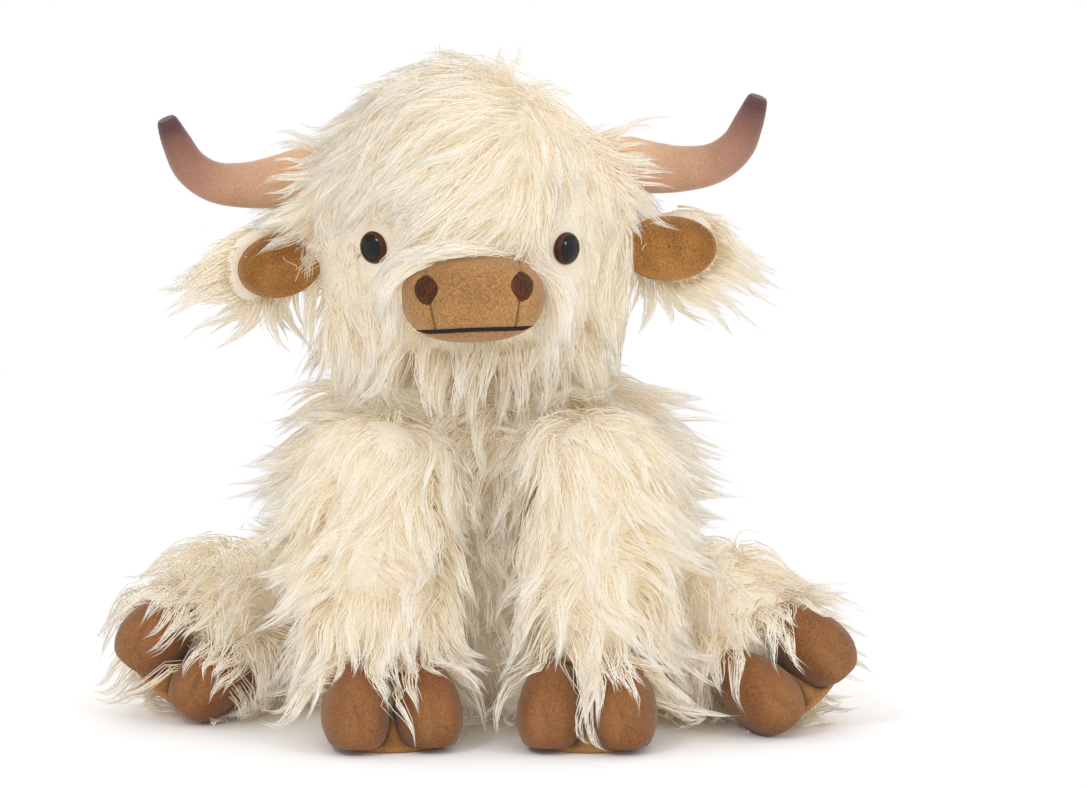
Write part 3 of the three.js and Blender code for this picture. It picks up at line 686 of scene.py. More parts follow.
def grown(
    roots: Array,
    normals: Array,
    comb: Comb,
    pile: Pile,
    around: Surroundings,
    trims: Sequence[Form | Room],
    seed: int,
) -> tuple[Array, Array]:
    """The paths of locks that grow from roots.

    Each step turns the path towards the comb direction laid along the nearest surface, and towards the lock's
    own height over that surface, which swells from the root and flares at the tip. Each lock also swings from
    side to side, and a smooth random phase lets its neighbours swing with it.

    Args:
        roots: Where the locks start, one a row.
        normals: The backing's outward directions there.
        comb: Which way they are brushed.
        pile: How they are cut and lie.
        around: What they may not enter.
        trims: Spaces that are cut clear of pile.
        seed: Picks their heights, flares and waves.

    Returns:
        The paths, as locks by points by three, and the share of each that is left after trimming.
    """
    rng = np.random.default_rng(seed)
    count = len(roots)
    length = pile.length * rng.uniform(*LOCK_LENGTHS, (count, 1))
    layer = rng.uniform(*pile.layers, count)
    flare = pile.flare * rng.uniform(0, 1, count) ** WILDNESS
    phase = 3.5 * ripple(roots, SWING_PITCH, seed)[:, :1] + rng.normal(0, 0.6, (count, 1))
    stray = rng.normal(0, STRAY, (count, 3))
    point = roots.copy()
    way = unit(normals * pile.lift + comb.flow(roots) * (1 - pile.lift) + stray)
    path = [point]
    left = np.ones(count)
    for k in range(STEPS):
        share = (k + 1) / STEPS
        point = point + way * length / STEPS
        height, out = around.outwards(point)
        point = point + out * np.maximum(CLEARANCE - height, 0)[:, None]
        path.append(point)
        inside = np.any([trim.distance(point) < 0 for trim in trims], axis=0)
        left = np.where(inside & (left == 1), np.maximum(share - 1 / STEPS, pile.stub), left)
        flow = comb.over(point, out) + stray
        wanted = layer * (1 - (1 - share) ** 2) + flare * share**3
        climb = np.clip((wanted - height) / CLIMB_OVER, 0.5 * comb.stand - 0.5, 0.9)[:, None]
        climb = np.where(climb < 0, climb * (1 - overhang(out)), climb)
        swing = np.cross(flow, out) * np.sin(phase + 2 * np.pi * SWINGS * share) * pile.wave
        way = unit(0.5 * way + 0.5 * (flow + out * climb + swing))
    return np.stack(path, axis=1), left


def as_strands(locks: Array, left: Array, pile: Pile, seed: int) -> tuple[Array, Array]:
    """The strands of each lock, which start apart and come together at its tip, the middle ones the longest.

    Args:
        locks: The locks' paths, as locks by points by three.
        left: The share of each that is left after trimming.
        pile: How many strands a lock has and how they gather.
        seed: Picks their places and lengths.

    Returns:
        The strands' paths, as strands by points by three, and each one's thickness.
    """
    rng = np.random.default_rng(seed)
    keep = left >= LEAST_SHARE
    locks, left = locks[keep], left[keep]
    count = len(locks) * pile.strands
    lock = np.repeat(np.arange(len(locks)), pile.strands)
    path = locks[lock]
    along = unit(path[:, 3] - path[:, 0])
    offset = rng.normal(0, 0.5, (count, 3))
    offset = offset - dot(offset, along) * along * 0.7
    far = np.minimum(np.linalg.norm(offset, axis=1, keepdims=True), 1.3)
    share = np.linspace(0, 1, STRAND_POINTS)
    cut = (1 - SHORTER_OUTSIDE * far) * rng.uniform(0.86, 1.0, (count, 1)) * left[lock][:, None]
    under = rng.uniform(size=(count, 1)) < pile.short
    cut = np.where(under, cut * rng.uniform(0.35, 0.7, (count, 1)), cut)
    offset = np.where(under, offset * 1.7, offset)
    loose = under | (rng.uniform(size=(count, 1)) < LOOSE)
    gather = np.where(loose, LOOSE_GATHER, pile.gather * rng.uniform(0.85, 1.12, (count, 1)))
    middle = along_paths(path, share[None] * cut * STEPS)
    apart = 1 - np.minimum(gather, 0.96) * share[None] ** 0.9
    bend = rng.normal(0, BOW, (count, 1, 3)) * np.sin(np.pi * share)[None, :, None]
    spread = (offset[:, None] * apart[:, :, None] + bend) * pile.lock_radius
    thickness = pile.radius * rng.uniform(0.75, 1.25, count)
    return middle + spread, thickness


def cut_back(paths: Array, thickness: Array, trims: Sequence[Form]) -> tuple[Array, Array]:
    """Strands that end before they enter a cleared space, without those that start in one.

    Args:
        paths: The strands' paths.
        thickness: Each strand's radius.
        trims: The cleared spaces.

    Returns:
        The paths that are left, each spread evenly over what is left of it, and their radii.
    """
    if not trims:
        return paths, thickness
    count, steps = paths.shape[:2]
    flat = paths.reshape(-1, 3)
    inside = np.any([trim.distance(flat) < 0 for trim in trims], axis=0).reshape(count, steps)
    first = np.where(inside.any(axis=1), inside.argmax(axis=1), steps)
    end = np.where(first == steps, steps - 1.0, first - 0.6)
    shorter = along_paths(paths, end[:, None] * np.linspace(0, 1, steps)[None])
    keep = first > 1
    return shorter[keep], thickness[keep]


def strand_surface(paths: Array, thickness: Array, rng: np.random.Generator) -> tuple[Surface, Array]:
    """Fine closed tubes of three sides along paths, each drawn out to a point at its tip.

    A ring stands at each point but the last: the path's point plus the strand's radius there, times the
    cosine and sine of a third of a turn, along two directions square to the path.

    Args:
        paths: The strands' paths, as strands by points by three.
        thickness: Each strand's radius at its thickest.
        rng: The source of chance, for each strand's tint.

    Returns:
        The surface, and its map for every face corner: u is the strand's column, v the place along it.
    """
    count, steps = paths.shape[0], paths.shape[1] - 1
    tangent = unit(np.gradient(paths, axis=1))
    aside = unit(np.cross(tangent[:, :1], unit(rng.normal(size=(count, 1, 3)))))
    first = unit(aside - dot(np.broadcast_to(aside, tangent.shape), tangent) * tangent)
    second = np.cross(tangent, first)
    taper = 1 - TAPER * (np.arange(steps) / steps) ** 1.5
    radius = (thickness[:, None] * taper)[:, :, None, None]
    angle = turns(STRAND_SIDES)[None, None, :, None]
    ring = np.cos(angle) * first[:, :-1, None] + np.sin(angle) * second[:, :-1, None]
    rings = paths[:, :-1, None] + ring * radius
    points = np.concatenate([rings.reshape(count, -1, 3), paths[:, -1:]], axis=1)
    here = np.arange(STRAND_SIDES)
    last = (steps - 1) * STRAND_SIDES
    ahead = (here + 1) % STRAND_SIDES
    tip = np.stack([last + here, last + ahead, np.full(3, last + 3), np.full(3, last + 3)], axis=1)
    pattern = np.vstack([grid_quads(steps, STRAND_SIDES, True), tip, [[2, 1, 0, 0]]])
    per_strand = steps * STRAND_SIDES + 1
    quads = (pattern[None] + per_strand * np.arange(count)[:, None, None]).reshape(-1, 4)
    column = rng.integers(0, TINTS, count)
    row = np.minimum(pattern // STRAND_SIDES, steps) / steps
    side_here = np.concatenate([np.tile(here, steps), [0]])
    left = side_here / STRAND_SIDES
    right = (side_here + 1) / STRAND_SIDES
    across = np.stack([left, right, right, left], axis=1)
    across[-4:-1, 2] = (left + right)[-4:-1] / 2
    across[-1] = [0.9, 0.5, 0.1, 0.1]
    u = (column[:, None, None] + 0.08 + 0.84 * across[None]) / TINTS
    v = np.broadcast_to(0.01 + 0.98 * row[None], u.shape)
    corner_uv = np.stack([u, v], axis=-1).reshape(-1, 4, 2)
    return Surface(points.reshape(-1, 3), quads), corner_uv


def coat_pieces(name: str, paths: Array, thickness: Array, seed: int) -> list[bpy.types.Object]:
    """The strands as pieces that each stay under the limit of faces.

    Args:
        name: The region's name, which each piece's name starts with.
        paths: The strands' paths.
        thickness: Each strand's radius.
        seed: Picks the tints.

    Returns:
        The pieces, split by where their strands start.
    """
    rng = np.random.default_rng(seed)
    parts = max(1, math.ceil(len(paths) / MOST_STRANDS))
    order = np.argsort(paths[:, 0, 1], kind="stable")
    pieces = []
    for number, chosen in enumerate(np.array_split(order, parts), start=1):
        surface, corner_uv = strand_surface(paths[chosen], thickness[chosen], rng)
        piece = mesh_piece(name if parts == 1 else f"{name}_{number}", surface)
        keep = np.ones(surface.quads.shape, bool)
        keep[:, 3] = surface.quads[:, 2] != surface.quads[:, 3]
        layer = piece.data.uv_layers.new(name="OFBake")
        layer.data.foreach_set("uv", corner_uv[keep].astype(np.float32).ravel())
        pieces.append(piece)
    return pieces


# Materials


def colour(hexadecimal: str) -> tuple[float, float, float, float]:
    """A colour written as six hexadecimal digits, as the linear values that a shader takes."""
    parts = [int(hexadecimal[k : k + 2], 16) / 255 for k in (0, 2, 4)]
    linear = [p / 12.92 if p <= 0.04045 else ((p + 0.055) / 1.055) ** 2.4 for p in parts]
    return (linear[0], linear[1], linear[2], 1.0)


Socket = bpy.types.NodeSocket


class Nodes:
    """A short way to place shader nodes and join them."""

    def __init__(self, tree: bpy.types.NodeTree) -> None:
        """Works on that tree."""
        self.tree = tree

    def add(self, kind: str, inputs: dict | None = None, **settings: object) -> bpy.types.Node:
        """A new node.

        Args:
            kind: The node's type name.
            inputs: For each input's name or number, a value or the socket that feeds it.
            settings: The node's own properties.

        Returns:
            The node.
        """
        node = self.tree.nodes.new(kind)
        for key, value in settings.items():
            setattr(node, key, value)
        for key, value in (inputs or {}).items():
            self.feed(node, key, value)
        return node

    def feed(self, node: bpy.types.Node, key: str | int, value: object) -> None:
        """Gives an input of a node a value, or joins a socket to it."""
        if isinstance(value, bpy.types.NodeSocket):
            self.tree.links.new(value, node.inputs[key])
        else:
            node.inputs[key].default_value = value

    def sum_of(self, kind: str, *values: object) -> Socket:
        """The result of a sum of that kind on numbers or sockets."""
        return self.add("ShaderNodeMath", dict(enumerate(values)), operation=kind).outputs[0]

    def eased(self, value: Socket, low: float, high: float, kind: str = "LINEAR") -> Socket:
        """From 0 to 1 while a value goes from low to high."""
        return self.add("ShaderNodeMapRange", {0: value, 1: low, 2: high}, interpolation_type=kind).outputs[0]

    def mix(self, factor: object, a: object, b: object, kind: str = "MIX") -> Socket:
        """The mix of two colours by a factor."""
        inputs = {0: factor, 6: a, 7: b}
        return self.add("ShaderNodeMix", inputs, data_type="RGBA", blend_type=kind).outputs[2]

    def ramp(self, factor: Socket, stops: Sequence[tuple[float, str]]) -> Socket:
        """A colour ramp through stops of place and colour."""
        node = self.add("ShaderNodeValToRGB", {0: factor})
        elements = node.color_ramp.elements
        while len(elements) < len(stops):
            elements.new(0.5)
        for element, (place, shade) in zip(elements, stops, strict=True):
            element.position = place
            element.color = colour(shade)
        return node.outputs[0]

    def mapped(self, name: str) -> Sequence[Socket]:
        """The parts of the piece's own map of that name."""
        place = self.add("ShaderNodeUVMap", uv_map=name).outputs[0]
        return self.add("ShaderNodeSeparateXYZ", {0: place}).outputs


def new_material(
    name: str, roughness: float, gloss: float
) -> tuple[bpy.types.Material, Nodes, bpy.types.Node]:
    """A new material.

    Args:
        name: Its name.
        roughness: How dull its reflection is.
        gloss: How strong its reflection is.

    Returns:
        The material, its node tool and its shader.
    """
    material = bpy.data.materials.new(name)
    material.use_nodes = True
    shader = material.node_tree.nodes["Principled BSDF"]
    shader.inputs["Roughness"].default_value = roughness
    shader.inputs["Specular IOR Level"].default_value = gloss
    return material, Nodes(material.node_tree), shader


PILE_GLOSS = 0.2


def pile_group() -> bpy.types.NodeTree:
    """The short pile's effect: patches where the pile lies another way, and the fine grain of its tips.

    Returns:
        A group that puts out Shade, from 0 to 1 over the patches, and Height, the grain.
    """
    tree = bpy.data.node_groups.get("short_pile")
    if tree:
        return tree
    tree = bpy.data.node_groups.new("short_pile", "ShaderNodeTree")
    for name, way in (("Patch", "INPUT"), ("Grain", "INPUT"), ("Shade", "OUTPUT"), ("Height", "OUTPUT")):
        tree.interface.new_socket(name, in_out=way, socket_type="NodeSocketFloat")
    kit = Nodes(tree)
    inputs = kit.add("NodeGroupInput").outputs
    place = kit.add("ShaderNodeTexCoord").outputs["Object"]
    patch = kit.add("ShaderNodeTexNoise", {"Vector": place, "Scale": inputs["Patch"], "Detail": 3.0})
    grain = kit.add("ShaderNodeTexNoise", {"Vector": place, "Scale": inputs["Grain"], "Detail": 2.0})
    fine = kit.sum_of("MULTIPLY", grain.outputs[0], 0.65)
    both = kit.sum_of("ADD", fine, kit.sum_of("MULTIPLY", patch.outputs[0], 0.35))
    kit.add("NodeGroupOutput", {"Shade": kit.eased(both, 0.36, 0.64), "Height": grain.outputs[0]})
    return tree


@dataclass(frozen=True)
class PlushFinish:
    """A short dense pile: two tones in soft patches with a grain, and a sheen at grazing light."""

    name: str
    slot: str
    light: str
    dark: str
    patch: float = 55.0
    grain: float = 1100.0
    relief: float = 0.35
    roughness: float = 0.85
    sheen: float = 0.35

    def start(self) -> tuple[bpy.types.Material, Nodes, bpy.types.Node, bpy.types.Node]:
        """The material with its pile's effect and shader, joined but for the colour.

        Returns:
            The material, its node tool, the effect and the shader.
        """
        material, kit, shader = new_material(self.name, self.roughness, PILE_GLOSS)
        shader.inputs["Sheen Weight"].default_value = self.sheen
        shader.inputs["Sheen Roughness"].default_value = 0.45
        sizes = {"Patch": self.patch, "Grain": self.grain}
        effect = kit.add("ShaderNodeGroup", node_tree=pile_group())
        for key, value in sizes.items():
            effect.inputs[key].default_value = value
        height = {"Height": effect.outputs["Height"], "Strength": self.relief, "Distance": 0.6 * MM}
        kit.feed(shader, "Normal", kit.add("ShaderNodeBump", height).outputs[0])
        return material, kit, effect, shader

    def make(self) -> bpy.types.Material:
        """The finished material."""
        material, kit, effect, shader = self.start()
        base = kit.mix(effect.outputs["Shade"], colour(self.dark), colour(self.light))
        kit.feed(shader, "Base Color", base)
        return material


@dataclass(frozen=True)
class HornFinish(PlushFinish):
    """Velour that shades along the horn, from tan at the root to mauve brown at the tip."""

    root: str = "D8AF88"
    middle: str = "A87C67"
    tip: str = "603F41"

    def make(self) -> bpy.types.Material:
        """The finished material."""
        material, kit, effect, shader = self.start()
        shaded = kit.ramp(kit.mapped("Along")[1], [(0.3, self.root), (0.62, self.middle), (0.86, self.tip)])
        tone = kit.mix(effect.outputs["Shade"], (0.8, 0.8, 0.8, 1), (1.12, 1.12, 1.12, 1))
        kit.feed(shader, "Base Color", kit.mix(1.0, shaded, tone, "MULTIPLY"))
        return material


@dataclass(frozen=True)
class HoofFinish(PlushFinish):
    """Plush whose pile radiates from a whorl at the toe's tip, where a painted highlight pales its radial
    lines.
    """

    # the paler colour of the radial lines at the toe's tip: a painted highlight
    whorl: str = "B98756"
    # how strongly the painted highlight pales those lines
    strength: float = 0.3

    def make(self) -> bpy.types.Material:
        """The finished material."""
        material, kit, effect, shader = self.start()
        round_, along = kit.mapped("Along")[:2]
        turn = kit.sum_of("MULTIPLY", round_, 2 * math.pi)
        parts = {0: kit.sum_of("COSINE", turn), 1: kit.sum_of("SINE", turn), 2: along}
        place = kit.add("ShaderNodeCombineXYZ", parts).outputs[0]
        noise = {"Vector": place, "Scale": 6.0, "Detail": 4.0, "Roughness": 0.8}
        lines = kit.add("ShaderNodeTexNoise", noise)
        # the radial lines near the toe's tip are the pile's pattern; paling them there is a painted highlight
        near = kit.eased(along, 0.78, 0.99, "SMOOTHSTEP")
        pale = kit.sum_of("MULTIPLY", near, kit.eased(lines.outputs[0], 0.38, 0.58))
        plain = kit.mix(effect.outputs["Shade"], colour(self.dark), colour(self.light))
        base = kit.mix(kit.sum_of("MULTIPLY", pale, self.strength), plain, colour(self.whorl))
        kit.feed(shader, "Base Color", base)
        return material


@dataclass(frozen=True)
class StrandFinish:
    """Long pile: each strand has a tint of its own, and it pales from its root to its tip, a painted shade
    that darkens the coat's depth.
    """

    name: str
    slot: str
    # root, middle and tip: the strand's colours along its length, the darker root a painted shade of the
    # coat's depth
    root: str
    middle: str
    tip: str
    roughness: float = 0.6
    through: float = 0.925  # of the light on a strand's wall that passes through it
    glow: tuple[float, float, float] = (1.0, 0.981, 0.944)  # the tint that it takes on the way

    def make(self) -> bpy.types.Material:
        """The finished material."""
        material, kit, shader = new_material(self.name, self.roughness, PILE_GLOSS)
        shader.inputs["Sheen Weight"].default_value = 0.25
        column, along = kit.mapped("OFBake")[:2]
        number = kit.sum_of("FLOOR", kit.sum_of("MULTIPLY", column, float(TINTS)))
        chance = kit.add("ShaderNodeTexWhiteNoise", {"W": number}, noise_dimensions="1D").outputs["Value"]
        # darker towards the root: painted shade deep in the coat
        shaded = kit.ramp(along, [(0.0, self.root), (0.45, self.middle), (1.0, self.tip)])
        tint = kit.mix(chance, (0.95, 0.925, 0.87, 1), (1.0, 1.0, 1.0, 1))
        kit.feed(shader, "Base Color", kit.mix(1.0, shaded, tint, "MULTIPLY"))
        rays = kit.add("ShaderNodeLightPath").outputs
        light = kit.sum_of("MAXIMUM", rays["Is Shadow Ray"], rays["Is Diffuse Ray"])
        clear = kit.add("ShaderNodeBsdfTransparent", {0: (*self.glow, 1)}).outputs[0]
        parts = {0: kit.sum_of("MULTIPLY", light, self.through), 1: shader.outputs[0], 2: clear}
        blend = kit.add("ShaderNodeMixShader", parts).outputs[0]
        kit.feed(material.node_tree.nodes["Material Output"], 0, blend)
        return material


@dataclass(frozen=True)
class SmoothFinish:
    """A plain hard or woven finish with slight blotches."""

    name: str
    slot: str
    base: str
    other: str
    roughness: float
    gloss: float = 0.5
    scale: float = 80.0

    def make(self) -> bpy.types.Material:
        """The finished material."""
        material, kit, shader = new_material(self.name, self.roughness, self.gloss)
        place = kit.add("ShaderNodeTexCoord").outputs["Object"]
        noise = kit.add("ShaderNodeTexNoise", {"Vector": place, "Scale": self.scale, "Detail": 2.0})
        kit.feed(shader, "Base Color", kit.mix(noise.outputs[0], colour(self.base), colour(self.other)))
        return material


Finish = PlushFinish | StrandFinish | SmoothFinish


class Wardrobe:
    """Makes each finish once and puts it on pieces."""

    def __init__(self) -> None:
        """Starts with nothing made."""
        self.made: dict[str, bpy.types.Material] = {}

    def put(self, piece: bpy.types.Object, finish: Finish) -> None:
        """Dresses a piece in a finish."""
        if finish.name not in self.made:
            self.made[finish.name] = finish.make()
        piece.data.materials.clear()
        piece.data.materials.append(self.made[finish.name])


# the darker root colour is painted shade deep in the coat
COAT = StrandFinish("coat_strands", "coat", root="F8EBD0", middle="FEF6E6", tip="FFFEFA")
# the backing's own cream, made a little darker and greyer than the strands' roots, partly a painted shade of
# the coat's depth where it shows between locks
BACKING = PlushFinish("coat_backing", "coat", "F1E8D8", "E4D8C2", relief=0.6, sheen=0.1)
TAN = PlushFinish("muzzle_plush", "tan_plush", "B98D58", "8C6239", 30, 780, relief=0.9, sheen=0.25)
LINING = PlushFinish("ear_lining_plush", "tan_plush", "BE8A4C", "835827", 60, relief=0.5)
BROWN = HoofFinish("hoof_plush", "brown_plush", "92623A", "704526", 45, 900, relief=0.7, sheen=0.2)
SOLE = PlushFinish("sole_plush_finish", "sole_plush", "B98A55", "8E6338", relief=0.5, sheen=0.2)
NOSTRIL = PlushFinish("nostril_pile", "nostril_plush", "66391F", "30180C", 90, 900, relief=1.0, sheen=0.1)
VELOUR = HornFinish("horn_velour_finish", "horn_velour", "FFFFFF", "FFFFFF", 50, relief=0.3)
THREAD = SmoothFinish("black_thread", "thread", "0B0A0A", "161414", roughness=0.8, scale=2000)
SEAM = SmoothFinish("seam_thread", "tan_plush", "8C6337", "6E4A28", roughness=0.8, scale=1500)
PUPIL = SmoothFinish("eye_black", "eye_plastic", "050404", "0A0706", roughness=0.04, gloss=0.35)
IRIS = SmoothFinish("eye_brown", "eye_plastic", "5A321D", "3A1C0F", roughness=0.12, gloss=0.4)
FILLING = SmoothFinish("loose_fibre", "polyester", "F7F6F2", "E8E6DE", roughness=1.0, scale=300)
CLOTH = SmoothFinish("pouch_weave", "pouch_cloth", "D9D2C2", "C8BFAB", roughness=0.9, scale=900)
WASHER = SmoothFinish("washer_moulding", "washer_plastic", "E9E9E6", "DEDEDA", roughness=0.4)


# The cow's forms, with the sizes of its pattern


@dataclass
class Pattern:
    """The sizes that the forms are drawn from, and the forms in the world."""

    head_tilt: float = -1.8
    head_centre: Array = field(default_factory=lambda: vec(-2, -16, 80) * MM)
    head_half: Array = field(default_factory=lambda: vec(91, 82, 79) * MM)
    torso_top: float = 183 * MM
    torso_foot: float = 24 * MM
    torso_half: Array = field(default_factory=lambda: vec(101, 86) * MM)
    belly_forward: float = 6 * MM
    neck_radius: float = 26 * MM
    coat_inset: float = 9 * MM  # from the lying pile's outside to the backing

    def __post_init__(self) -> None:
        """Draws every form."""
        axis = joint_of("head_nod")["axis"]
        yaw = math.degrees(math.atan2(axis[1], axis[0]))
        self.neck_at = joint_at("head_nod")
        self.head_place = Placement(self.neck_at, turn_about(2, yaw) @ turn_about(1, self.head_tilt))
        self.torso = self.draw_torso()
        self.head = self.draw_head()
        self.forelock = self.draw_forelock()
        self.muzzle = self.draw_muzzle()
        spine = np.array([self.neck_at, self.neck_at + vec(0, 0, 1 * MM)])
        self.neck = LimbForm(WORLD, spine, [self.neck_radius] * 2, vec(1, 0, 0))

    def draw_torso(self) -> DomedForm:
        """The body, from under the floor to the neck."""
        shares = [0, 1, 1, 0, -0.4]
        up = np.linspace(-self.torso_foot, self.torso_top, len(shares))
        spine = np.stack([0 * up, -self.belly_forward * np.array(shares), up], axis=1)
        widths = self.torso_half[0] * vec(0.94, 1, 0.99, 0.95, 0.9)
        depths = self.torso_half[1] * vec(0.94, 1, 0.96, 0.84, 0.8)
        return DomedForm(WORLD, spine, widths, depths, vec(1, 0, 0), 4.2)

    def draw_head(self) -> DomedForm:
        """The head, nearly a ball."""
        up = self.head_half[2] * np.linspace(-1, 1, 5)
        spine = self.head_centre + np.stack([0 * up, 0 * up, up], axis=1)
        shares = vec(0.97, 1, 1, 0.97, 0.9)
        widths, depths = self.head_half[0] * shares, self.head_half[1] * shares
        return DomedForm(self.head_place, spine, widths, depths, vec(1, 0, 0), 2.1, start_bluntness=3.6)

    def draw_forelock(self) -> DomedForm:
        """The fringe's swell over the forehead."""
        half = vec(66, 84, 77) * MM
        up = half[2] * np.linspace(-1, 1, 3)
        centre = self.head_centre + vec(0, -14, 11) * MM
        spine = centre + np.stack([0 * up, 0 * up, up], axis=1)
        return DomedForm(self.head_place, spine, [half[0]] * 3, [half[1]] * 3, vec(1, 0, 0), 2.0)

    def draw_muzzle(self) -> DomedForm:
        """The muzzle, from inside the head to its front."""
        forward = -np.linspace(52, 116, 5) * MM
        spine = self.head_centre + np.stack([0 * forward, forward, 0 * forward - 28 * MM], axis=1)
        shares = vec(0.9, 1, 1, 0.97, 0.88)
        widths, depths = 38.5 * MM * shares, 24 * MM * shares
        return DomedForm(self.head_place, spine, widths, depths, vec(1, 0, 0), 3.0, 2.5)


# Camera, floor and light


def seen_directly(kit: Nodes) -> Socket:
    """One for rays from the camera, and for those that gloss or glass sends on, and nothing for light."""
    rays = kit.add("ShaderNodeLightPath").outputs
    either = kit.sum_of("MAXIMUM", rays["Is Camera Ray"], rays["Is Glossy Ray"])
    return kit.sum_of("MAXIMUM", either, rays["Is Transmission Ray"])


@dataclass(frozen=True)
class Studio:
    """The photograph's frame and a soft white studio."""

    picture: tuple[int, int] = (1087, 790)
    metres_per_pixel: float = 0.55 * MM
    middle_pixel: float = 486.0  # the column of the body's middle
    foot_pixel: float = 742.0  # the row of the front hooves' soles
    foot_height: float = -26 * MM  # of those soles up the picture from the origin
    elevation: float = 10.0
    distance: float = 5.0
    sensor: float = 36 * MM
    floor_half: float = 8.0
    white_from: tuple[float, float] = (0.2, 0.5)  # where the floor starts to be plain white, and is
    ambient: float = 0.95
    layers: int = 24  # walls of strands that light may pass

    def camera(self) -> None:
        """A long lens, a little above the toy, that frames what the photograph frames."""
        width, height = self.picture
        across = (width / 2 - self.middle_pixel) * self.metres_per_pixel
        up = (self.foot_pixel - height / 2) * self.metres_per_pixel + self.foot_height
        lean = math.radians(self.elevation)
        target = vec(across, 0, up / math.cos(lean))
        data = bpy.data.cameras.new("camera")
        data.sensor_width = self.sensor * 1000
        data.lens = 1000 * self.sensor * self.distance / (width * self.metres_per_pixel)
        data.clip_end = 50
        camera = bpy.data.objects.new("camera", data)
        camera.location = target + self.distance * vec(0, -math.cos(lean), math.sin(lean))
        camera.rotation_euler = (math.pi / 2 - lean, 0, 0)
        bpy.context.scene.collection.objects.link(camera)
        bpy.context.scene.camera = camera

    def floor(self) -> None:
        """A wide pale floor that keeps the toy's shadow, and is plain white to the camera further out."""
        corners = self.floor_half * np.array([[-1, -1, 0], [1, -1, 0], [1, 1, 0], [-1, 1, 0]])
        piece = mesh_piece("studio_floor", Surface(corners, np.array([[0, 1, 2, 3]])), smooth=False)
        material, kit, shader = new_material("floor_paper", roughness=0.9, gloss=0.0)
        place = kit.add("ShaderNodeTexCoord").outputs["Object"]
        noise = kit.add("ShaderNodeTexNoise", {"Vector": place, "Scale": 3.0}).outputs[0]
        base = kit.mix(noise, (0.955, 0.96, 0.97, 1), (0.97, 0.975, 0.985, 1))
        kit.feed(shader, "Base Color", base)
        reach = kit.add("ShaderNodeVectorMath", {0: place}, operation="LENGTH").outputs["Value"]
        white = kit.sum_of("MULTIPLY", kit.eased(reach, *self.white_from, "SMOOTHSTEP"), seen_directly(kit))
        glow = kit.add("ShaderNodeEmission", {0: (1.0, 1.0, 1.0, 1), 1: 1.0}).outputs[0]
        blend = kit.add("ShaderNodeMixShader", {0: white, 1: shader.outputs[0], 2: glow}).outputs[0]
        kit.feed(material.node_tree.nodes["Material Output"], 0, blend)
        piece.data.materials.append(material)
        piece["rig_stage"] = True

    def world(self) -> None:
        """Even white light from all round, and plain white where the camera sees past the floor."""
        world = bpy.data.worlds.new("studio")
        world.use_nodes = True
        bpy.context.scene.world = world
        kit = Nodes(world.node_tree)
        background = world.node_tree.nodes["Background"]
        background.inputs[0].default_value = (1.0, 1.0, 1.0, 1)
        strength = kit.add("ShaderNodeMapRange", {0: seen_directly(kit), 3: self.ambient, 4: 1.0})
        kit.feed(background, 1, strength.outputs[0])

    def lamp(self, name: str, place: Array, aim: Array, size: float, power: float) -> None:
        """A square soft lamp.

        Args:
            name: Its name.
            place: Where it hangs.
            aim: The point that it faces.
            size: Its side.
            power: Its watts.
        """
        data = bpy.data.lights.new(name, "AREA")
        data.size = size
        data.energy = power
        lamp = bpy.data.objects.new(name, data)
        way = unit(aim - place)
        lamp.location = place
        lamp.rotation_euler = (math.acos(-way[2]), 0, math.atan2(way[1], way[0]) - math.pi / 2)
        bpy.context.scene.collection.objects.link(lamp)

    def build(self) -> None:
        """Sets up the whole studio."""
        self.camera()
        self.floor()
        self.world()
        aim = vec(0, 0, 0.18)
        self.lamp("key_lamp", vec(-1.1, -1.8, 1.9), aim, size=0.5, power=13)
        self.lamp("fill_lamp", vec(1.6, -1.4, 1.2), aim, size=0.5, power=7)
        self.lamp("top_lamp", vec(0.1, 0.5, 2.2), aim, size=1.8, power=5)
        bpy.context.scene.view_settings.view_transform = "Standard"
        bpy.context.scene.cycles.transparent_max_bounces = self.layers


# The cow's pieces


